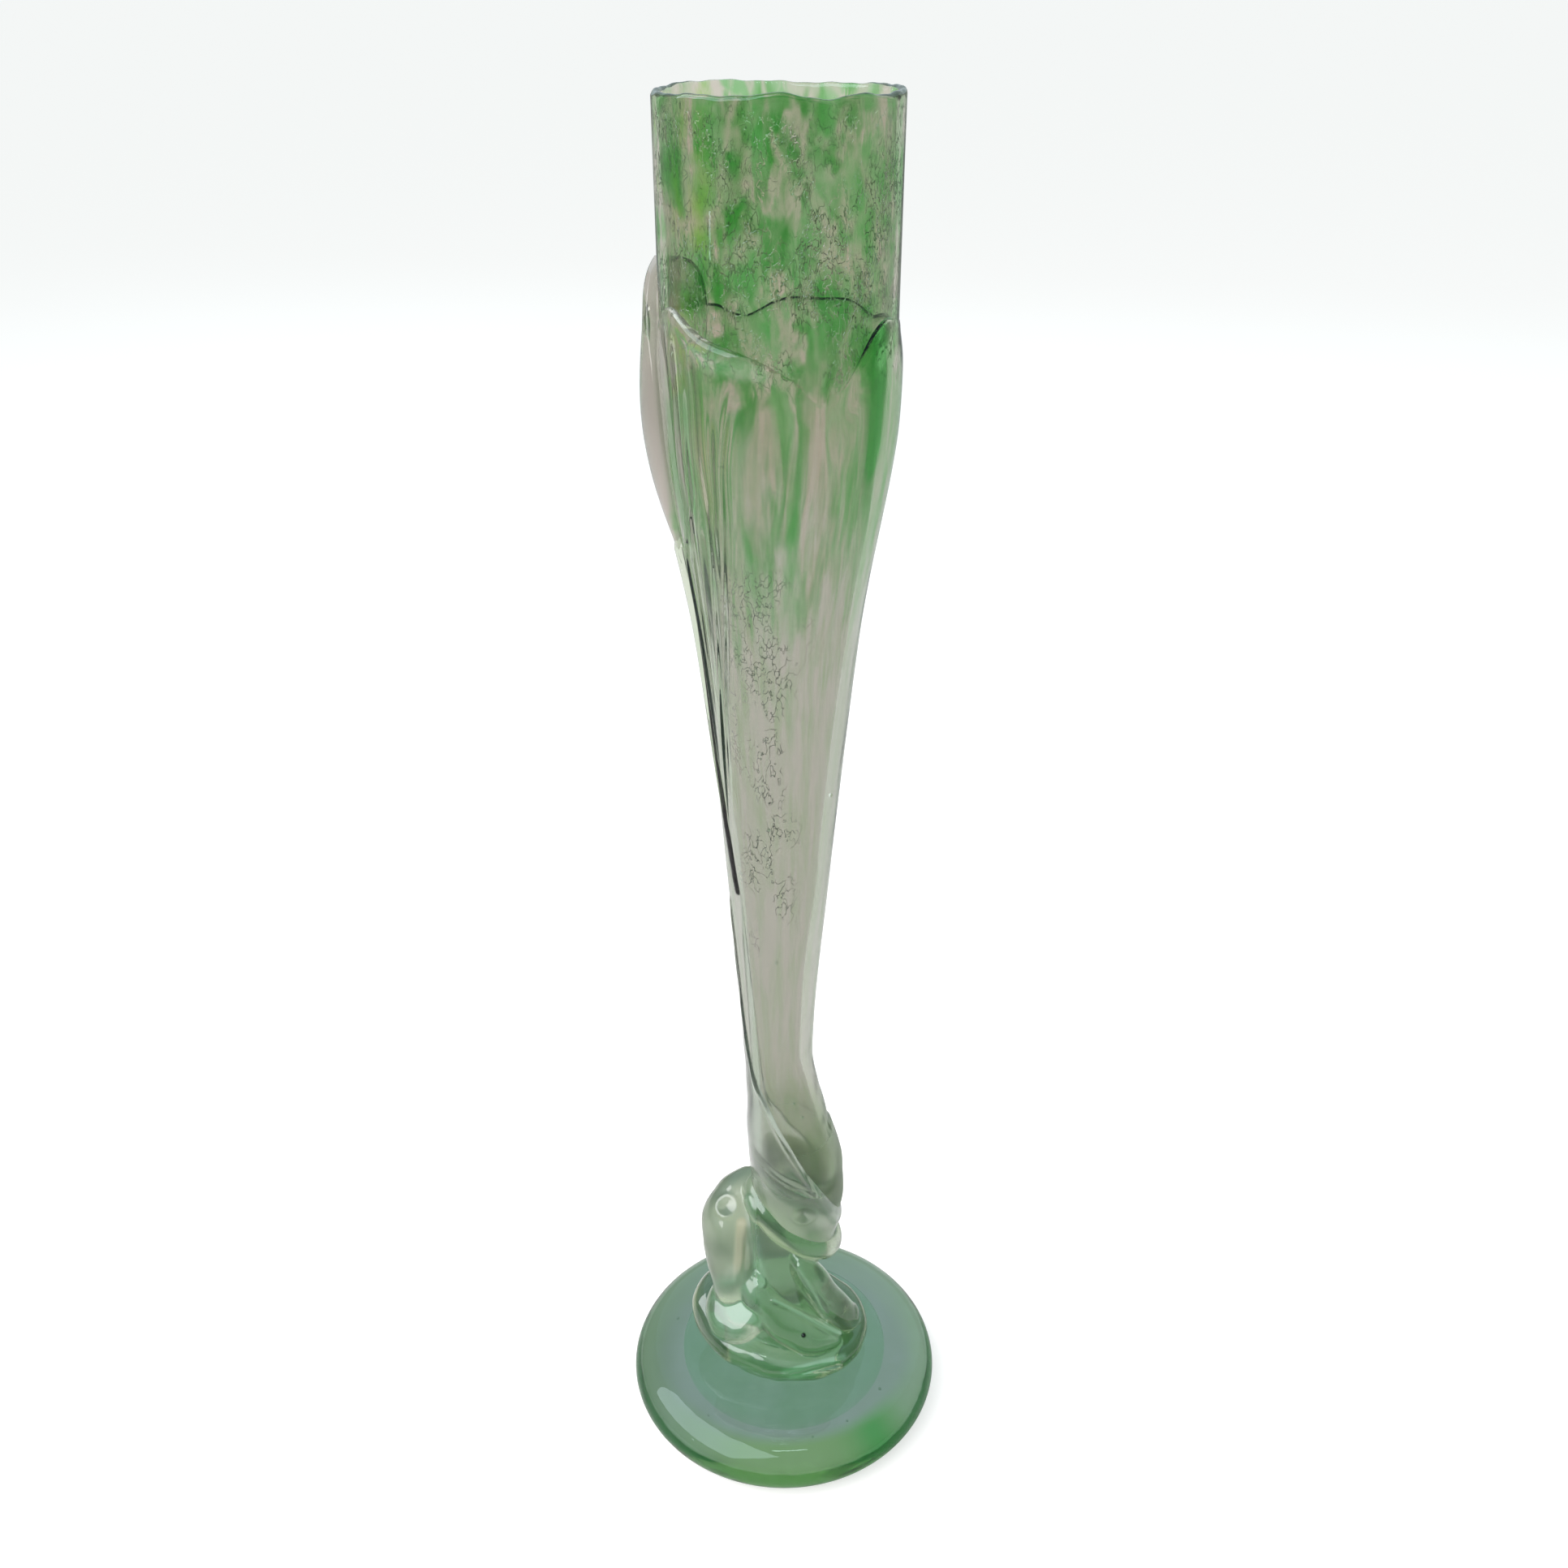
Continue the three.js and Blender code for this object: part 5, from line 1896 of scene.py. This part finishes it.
    def deep(self, places: Points) -> Points:
        """The greener ropes: the upper coil, the front of the base coil and, most of all, its right.

        Args:
            places: Places in millimetres.

        Returns:
            The mask at each place.
        """
        x, forward, z = places[:, 0], -places[:, 1], places[:, 2]
        upper = smoothstep(z, 62, 68) * smoothstep(x, -9, -4) * (1 - smoothstep(z, 76, 80))
        front = smoothstep(forward, 12, 20) * (1 - smoothstep(z, 27, 33)) * smoothstep(x, -6, 6)
        right = smoothstep(x, 10, 20) * (1 - smoothstep(z, 28, 34)) * smoothstep(forward, -4, 8)
        return 0.2 * upper * (1 - smoothstep(x, 10, 15)) + 0.14 * front + 0.55 * right

    def milky(self, places: Points) -> Points:
        """Painted highlights: the window's reflection on the left facet, the white streak and the bright
        lines; and the paler right lobe and the loop's haze.

        Args:
            places: Places in millimetres.

        Returns:
            The mask at each place.
        """
        left = 1 - smoothstep(places[:, 0], -12, -7)
        streak = 0.7 * stroke(places, *self.streak, 1.5)
        streak = streak + 0.3 * stroke(places, (-9.6, -10, 70), (-7.5, -14, 57), 2.6)
        for start, end, width, share in self.pale_lines:
            streak = streak + share * stroke(places, start, end, width)
        lobe = smoothstep(places[:, 0], 12, 17) * smoothstep(places[:, 2], 60, 66)
        facet = stroke(places, (-15.5, -11, 48), (-14, -16, 42), 7)
        return 0.1 * left * smoothstep(places[:, 2], 40, 50) + streak + 0.5 * lobe + 0.85 * facet

    def cloud(self, places: Points) -> Points:
        """The loop is cloudier than the trunk."""
        return 0.48 * (1 - smoothstep(places[:, 0], -11, -6)) * smoothstep(places[:, 2], 46, 54)

    def build(self, shop: Workshop) -> None:
        """Make the core and its ropes, melt them together and work the surface.

        Args:
            shop: What the sub-assemblies share.
        """
        glass = shop.glass["pale"]
        parts = [mesh_object("core", self.core(), glass), mesh_object("spread", self.spread(), glass)]
        for index, (path, girth) in enumerate(self.ropes()):
            parts.append(shop.ropes.draw(f"rope_{index}", path, rounded_ends(path, girth), glass))
        piece = melt("stem_glass", parts, self.grain, self.melting)
        push(piece, self.worked)
        paint(piece, tan=self.tan, deep=self.deep, milky=self.milky, cloud=self.cloud)
        nodes = ("stem_core", "base_coil", "upper_coil", "left_loop", "right_root", "front_twist")
        shop.finish(piece, nodes, "pale_green_glass")


@dataclass
class DiscFoot:
    """The thick clear disc that the vase stands on, with a green disc cased inside it."""

    pontil_radius: float = 11
    pontil_depth: float = 1.6
    core_thickness: float = 9
    core_cover: float = 0.6
    core_corner: float = 1.2
    sides: int = 240

    def lathe(self, profile: list[tuple[float, float]]) -> Skin:
        """Turn a profile about the upright axis.

        Args:
            profile: Its pairs of radius and height, which start and end on the axis.

        Returns:
            The closed skin.
        """
        angle = np.arange(self.sides) * 360 / self.sides
        rings = []
        for radius, z in profile[1:-1]:
            x, y = at_angle(angle, radius)
            rings.append(np.stack([x, y, np.full(self.sides, z)], -1))
        return skin_over(np.array(rings), np.array([0, 0, profile[0][1]]), np.array([0, 0, profile[-1][1]]))

    def edge(self, places: Points) -> tuple[Points, Points]:
        """How far places lie on the foot's round edge, and their angles."""
        return smoothstep(np.hypot(places[:, 0], places[:, 1]), 39, 45), angle_of(places, 0)

    def deep(self, places: Points) -> Points:
        """The deep green patch at the front right of the foot's edge."""
        edge, angle = self.edge(places)
        return edge * bump(angle, -52, 13)

    def sunny(self, places: Points) -> Points:
        """The yellow-green edge, strongest at the front."""
        edge, angle = self.edge(places)
        return edge * (0.25 + 0.95 * bump(angle, -84, 46))

    def dark(self, places: Points) -> Points:
        """The edge is painted darker at the left."""
        radius = np.hypot(places[:, 0], places[:, 1])
        return 0.42 * smoothstep(radius, 33, 42) * bump(angle_of(places, 0), 182, 46)

    def milky(self, places: Points) -> Points:
        """The light that the low edge gathers from the table."""
        edge, angle = self.edge(places)
        return 0.4 * edge * bump(angle, FRONT, 80) * (1 - smoothstep(places[:, 2], 3, 8))

    def foot_profile(self) -> list[tuple[float, float]]:
        """Draw the foot's section, from the ground hollow round the edge to the middle of its top.

        Returns:
            Its pairs of radius and height.
        """
        half = FORM.foot_thickness / 2
        flat = FORM.foot_flat
        profile = [(0, self.pontil_depth), (3, self.pontil_depth), (7, self.pontil_depth * 0.75), (9.5, 0.5)]
        profile += [(self.pontil_radius, 0), (self.pontil_radius + 4, 0), (flat - 4, 0)]
        for turn in np.radians(np.linspace(-90, 90, 37)):
            profile.append((flat + FORM.foot_edge_depth * math.cos(turn), half + half * math.sin(turn)))
        profile += [(r, float(FORM.foot_surface(r))) for r in np.linspace(flat - 3, 2, 14)]
        return [*profile, (0, float(FORM.foot_surface(0)))]

    def core_profile(self) -> list[tuple[float, float]]:
        """Draw the green disc's section, from the middle of its bottom to the middle of its top.

        Returns:
            Its pairs of radius and height.
        """
        radius = FORM.foot_flat - FORM.core_margin
        inner = radius - self.core_corner
        top = FORM.foot_thickness - self.core_cover
        bottom = FORM.foot_thickness - self.core_thickness
        middle, half = (top + bottom) / 2, (top - bottom) / 2
        level = [radius * share for share in (0.1, 0.3, 0.5, 0.7, 0.85)] + [inner - 0.4]
        profile = [(0, bottom), *((r, bottom) for r in level), (inner, bottom)]
        for turn in np.radians(np.linspace(-60, 60, 7)):
            rise = half * math.sin(turn) / math.sin(math.pi / 3)
            profile.append((inner + self.core_corner * math.cos(turn), middle + rise))
        return [*profile, (inner, top), *((r, top) for r in level[::-1]), (0, top)]

    def build(self, shop: Workshop) -> None:
        """Make the foot and its core.

        Args:
            shop: What the sub-assemblies share.
        """
        foot = mesh_object("foot_glass", self.lathe(self.foot_profile()), shop.glass["foot"])
        paint(foot, deep=self.deep, sunny=self.sunny, dark=self.dark, milky=self.milky)
        shop.finish(foot, "foot", "clear_glass")
        core = mesh_object("foot_core_glass", self.lathe(self.core_profile()), shop.glass["core"])
        shop.finish(core, "foot_core", "green_glass", fused=False)


@dataclass
class SeedsAndGrit:
    """The seeds of air in the glass, and the one dark grain in the stem.

    The places are in millimetres. A ray that starts cast_from metres before the grain lays it on the stem.
    """

    seeds: tuple = (
        (5.5, -12.5, 122), (7, -14.5, 96), (7.6, -14.8, 92), (-9, -16.5, 62), (-7, -17, 47),
        (13, -17, 29), (3, -13.5, 128), (-14, -21.5, 322), (12, -22.5, 236), (-4, -16, 222),
        (-2, -13.5, 178), (20, -33, 15.5), (-24, -31, 15.5), (31, -21, 16), (-36, 8, 16.5),
        (9, -38, 14), (-12, 36, 16),
    )
    seed_radius: float = 0.42
    grain: tuple = (6.2, -17.4, 36.9)
    grain_radius: float = 0.7
    cast_from: float = 0.04

    def build(self, shop: Workshop) -> None:
        """Make the seeds and the grain.

        Args:
            shop: What the sub-assemblies share.
        """
        seeds = shop.seeds.scatter("seeds", np.array(self.seeds), self.seed_radius, shop.glass["seed"])
        stem = next(piece for piece in shop.fused if piece.name == "stem_glass")
        sight = Vector(SIGHT)
        start = Vector(self.grain) * MM - sight * self.cast_from
        place = np.array(faces_of(stem).ray_cast(start, sight)[0]) / MM
        grain = shop.seeds.scatter("grit_grain", place[None, :], self.grain_radius, shop.glass["grit"])
        for piece, slot in ((seeds, "clear_glass"), (grain, "pale_green_glass")):
            shop.finish(piece, (), slot, fused=False)


def fuse(pieces: list[bpy.types.Object]) -> None:
    """Give each piece how far it is clear of the others, because melted glass has no surface inside another.

    Only what lies NEAR another piece's box is measured, and the rest is FAR from it, both in metres.

    Args:
        pieces: The pieces that are melted together.
    """
    trees = {piece.name: faces_of(piece) for piece in pieces}
    boxes = {p.name: (points_of(p.data).min(0), points_of(p.data).max(0)) for p in pieces}
    for piece in pieces:
        places = points_of(piece.data)
        clear = np.full(len(places), FAR)
        for other in pieces:
            if other is piece:
                continue
            low, high = boxes[other.name]
            tree = trees[other.name]
            for index in np.nonzero(((places > low - NEAR) & (places < high + NEAR)).all(axis=1))[0]:
                place = Vector(places[index])
                away = tree.find_nearest(place)[3]
                clear[index] = min(clear[index], -away if is_inside(tree, place) else away)
        layer = piece.data.attributes.new("clear_by", "FLOAT", "POINT")
        layer.data.foreach_set("value", (clear / MM).astype(np.float32))
        LOG.info("%s: %.0f%% of its surface is melted in", piece.name, 100 * (clear < 0).mean())


def is_inside(tree: BVHTree, place: Vector) -> bool:
    """Whether a place lies inside a closed skin: a ray from it then meets the skin an odd number of times.

    Args:
        tree: The skin's faces.
        place: The place.

    Returns:
        True inside.
    """
    way = Vector((0.37, 0.21, 0.905)).normalized()
    step, most = 1e-6, 40
    meetings = 0
    found = tree.ray_cast(place, way)[0]
    while found is not None and meetings < most:
        meetings += 1
        found = tree.ray_cast(found + way * step, way)[0]
    return meetings % 2 == 1


# The studio


@dataclass(frozen=True)
class SoftLamp:
    """A soft rectangular lamp that faces a target, hidden from the camera, in metres and watts."""

    name: str
    place: tuple[float, float, float]
    target: tuple[float, float, float]
    size: tuple[float, float]
    power: float
    colour: tuple[float, float, float]

    def hang(self) -> None:
        """Hang the lamp."""
        data = bpy.data.lights.new(self.name, "AREA")
        data.shape = "RECTANGLE"
        data.size, data.size_y = self.size
        data.energy = self.power
        data.color = self.colour
        lamp = bpy.data.objects.new(self.name, data)
        lamp.location = self.place
        lamp.rotation_euler = (Vector(self.target) - Vector(self.place)).to_track_quat("-Z", "Y").to_euler()
        lamp.visible_camera = False
        lamp.visible_transmission = False
        bpy.context.scene.collection.objects.link(lamp)


@dataclass
class Studio:
    """A pale floor, soft lamps and the camera. Its places are in metres."""

    camera_place: tuple[float, float, float] = (0, -0.3682, 0.4223)
    camera_tilt: float = 62.10
    lens: float = 35.18
    floor_size: float = 60
    floor_height: float = -0.00003
    floor_colour: tuple[float, ...] = (0.5, 0.49, 0.48, 1)
    floor_lift: float = 0.62
    room_low: tuple[float, ...] = (0.35, 0.37, 0.35, 1)
    room_high: tuple[float, ...] = (0.6, 0.66, 0.66, 1)
    lamps: tuple[SoftLamp, ...] = (
        SoftLamp("window", (-0.58, -0.22, 0.8), (0, 0, 0.04), (1.3, 0.85), 20, (1, 0.94, 0.98)),
        SoftLamp("low_strip", (-0.62, -0.34, 0.27), (0, 0, 0.35), (0.03, 0.03), 0.02, (1, 1, 0.96)),
        SoftLamp("back_window", (0.2, 1.05, 1.1), (0, 0, 0), (2.4, 1.8), 5, (0.6, 0.88, 1)),
        SoftLamp("ceiling_lamp", (0.05, -0.35, 1.25), (0, 0, 0.1), (0.3, 0.05), 0.7, (1, 1, 0.97)),
    )

    def build(self) -> None:
        """Make the whole studio."""
        self.camera()
        self.floor()
        self.world()
        for lamp in self.lamps:
            lamp.hang()

    def camera(self) -> None:
        """The camera at the photograph's place."""
        data = bpy.data.cameras.new("camera")
        data.lens = self.lens
        data.clip_start = 0.01
        camera = bpy.data.objects.new("camera", data)
        camera.location = self.camera_place
        camera.rotation_euler = (math.radians(self.camera_tilt), 0, 0)
        bpy.context.scene.collection.objects.link(camera)
        bpy.context.scene.camera = camera

    def floor(self) -> None:
        """The floor, which is white behind glass and keeps the vase's shadow."""
        half, low = self.floor_size / 2, self.floor_height
        corners = [(-half, -half, low), (half, -half, low), (half, half, low), (-half, half, low)]
        mesh = bpy.data.meshes.new("floor")
        mesh.from_pydata(corners, [], [(0, 1, 2, 3)])
        material = bpy.data.materials.new("pale_floor")
        material.use_nodes = True
        material.node_tree.nodes.clear()
        graph = Graph(material.node_tree)
        output = graph.add("ShaderNodeOutputMaterial")
        path = graph.add("ShaderNodeLightPath")
        matt = graph.add("ShaderNodeBsdfDiffuse")
        matt.inputs["Color"].default_value = self.floor_colour
        lift = graph.add("ShaderNodeEmission")
        shown = graph.math("MULTIPLY", path.outputs["Is Camera Ray"], self.floor_lift)
        graph.feed(lift.inputs["Strength"], shown)
        both = graph.add("ShaderNodeAddShader")
        graph.feed(both.inputs[0], matt.outputs[0])
        graph.feed(both.inputs[1], lift.outputs[0])
        white = graph.add("ShaderNodeEmission")
        white.inputs["Strength"].default_value = 1
        choose = graph.add("ShaderNodeMixShader")
        graph.feed(choose.inputs[0], path.outputs["Is Transmission Ray"])
        graph.feed(choose.inputs[1], both.outputs[0])
        graph.feed(choose.inputs[2], white.outputs[0])
        graph.feed(output.inputs["Surface"], choose.outputs[0])
        mesh.materials.append(material)
        floor = bpy.data.objects.new("floor", mesh)
        bpy.context.scene.collection.objects.link(floor)

    def world(self) -> None:
        """A soft room, dim at eye level and paler overhead, which is white where it is seen."""
        world = bpy.data.worlds.new("room")
        world.use_nodes = True
        graph = Graph(world.node_tree)
        sky = next(n for n in world.node_tree.nodes if n.type == "BACKGROUND")
        way = graph.add("ShaderNodeTexCoord").outputs["Generated"]
        apart = graph.add("ShaderNodeSeparateXYZ")
        graph.feed(apart.inputs[0], way)
        share = graph.ramp(apart.outputs[2], 0.0, 0.6)
        room = graph.mix(share, self.room_low, self.room_high)
        path = graph.add("ShaderNodeLightPath")
        seen = graph.math("MAXIMUM", path.outputs["Is Camera Ray"], path.outputs["Is Transmission Ray"])
        graph.feed(sky.inputs["Color"], graph.mix(seen, room, (1, 1, 1, 1)))
        sky.inputs["Strength"].default_value = 1
        bpy.context.scene.world = world


def render_settings() -> None:
    """Plain colour handling, and enough bounces for nested glass."""
    scene = bpy.context.scene
    scene.view_settings.view_transform = "Standard"
    scene.cycles.max_bounces = 32
    scene.cycles.transmission_bounces = 32
    scene.cycles.glossy_bounces = 12
    scene.cycles.transparent_max_bounces = 64


def main() -> None:
    """Build the studio and the vase, from the foot up."""
    logging.basicConfig(level=logging.INFO, format="%(name)s: %(message)s")
    render_settings()
    Studio().build()
    groups = {"mottle": mottle_group(), "tint": tint_group(), "wrinkles": wrinkle_group()}
    finishes = {
        "mottled": MOTTLED, "streaked": STREAKED, "leaf": LEAF, "clear": CLEAR, "wrap": WRAP, "pale": PALE,
        "foot": FOOT_GLASS, "core": CORE_GLASS, "seed": SEED_GLASS, "grit": GRIT,
    }
    glass = {name: finish.build(groups) for name, finish in finishes.items()}
    shop = Workshop(glass, RopeTree(), SeedTree())
    below = [DiscFoot(), CoiledStem()]
    above = [BlownVessel(), PetalCalyx(), FootWrap(), SideLeaf()]
    for part in (*below, *above, SeedsAndGrit()):
        part.build(shop)
    fuse(shop.fused)


if __name__ == "__main__":
    main()
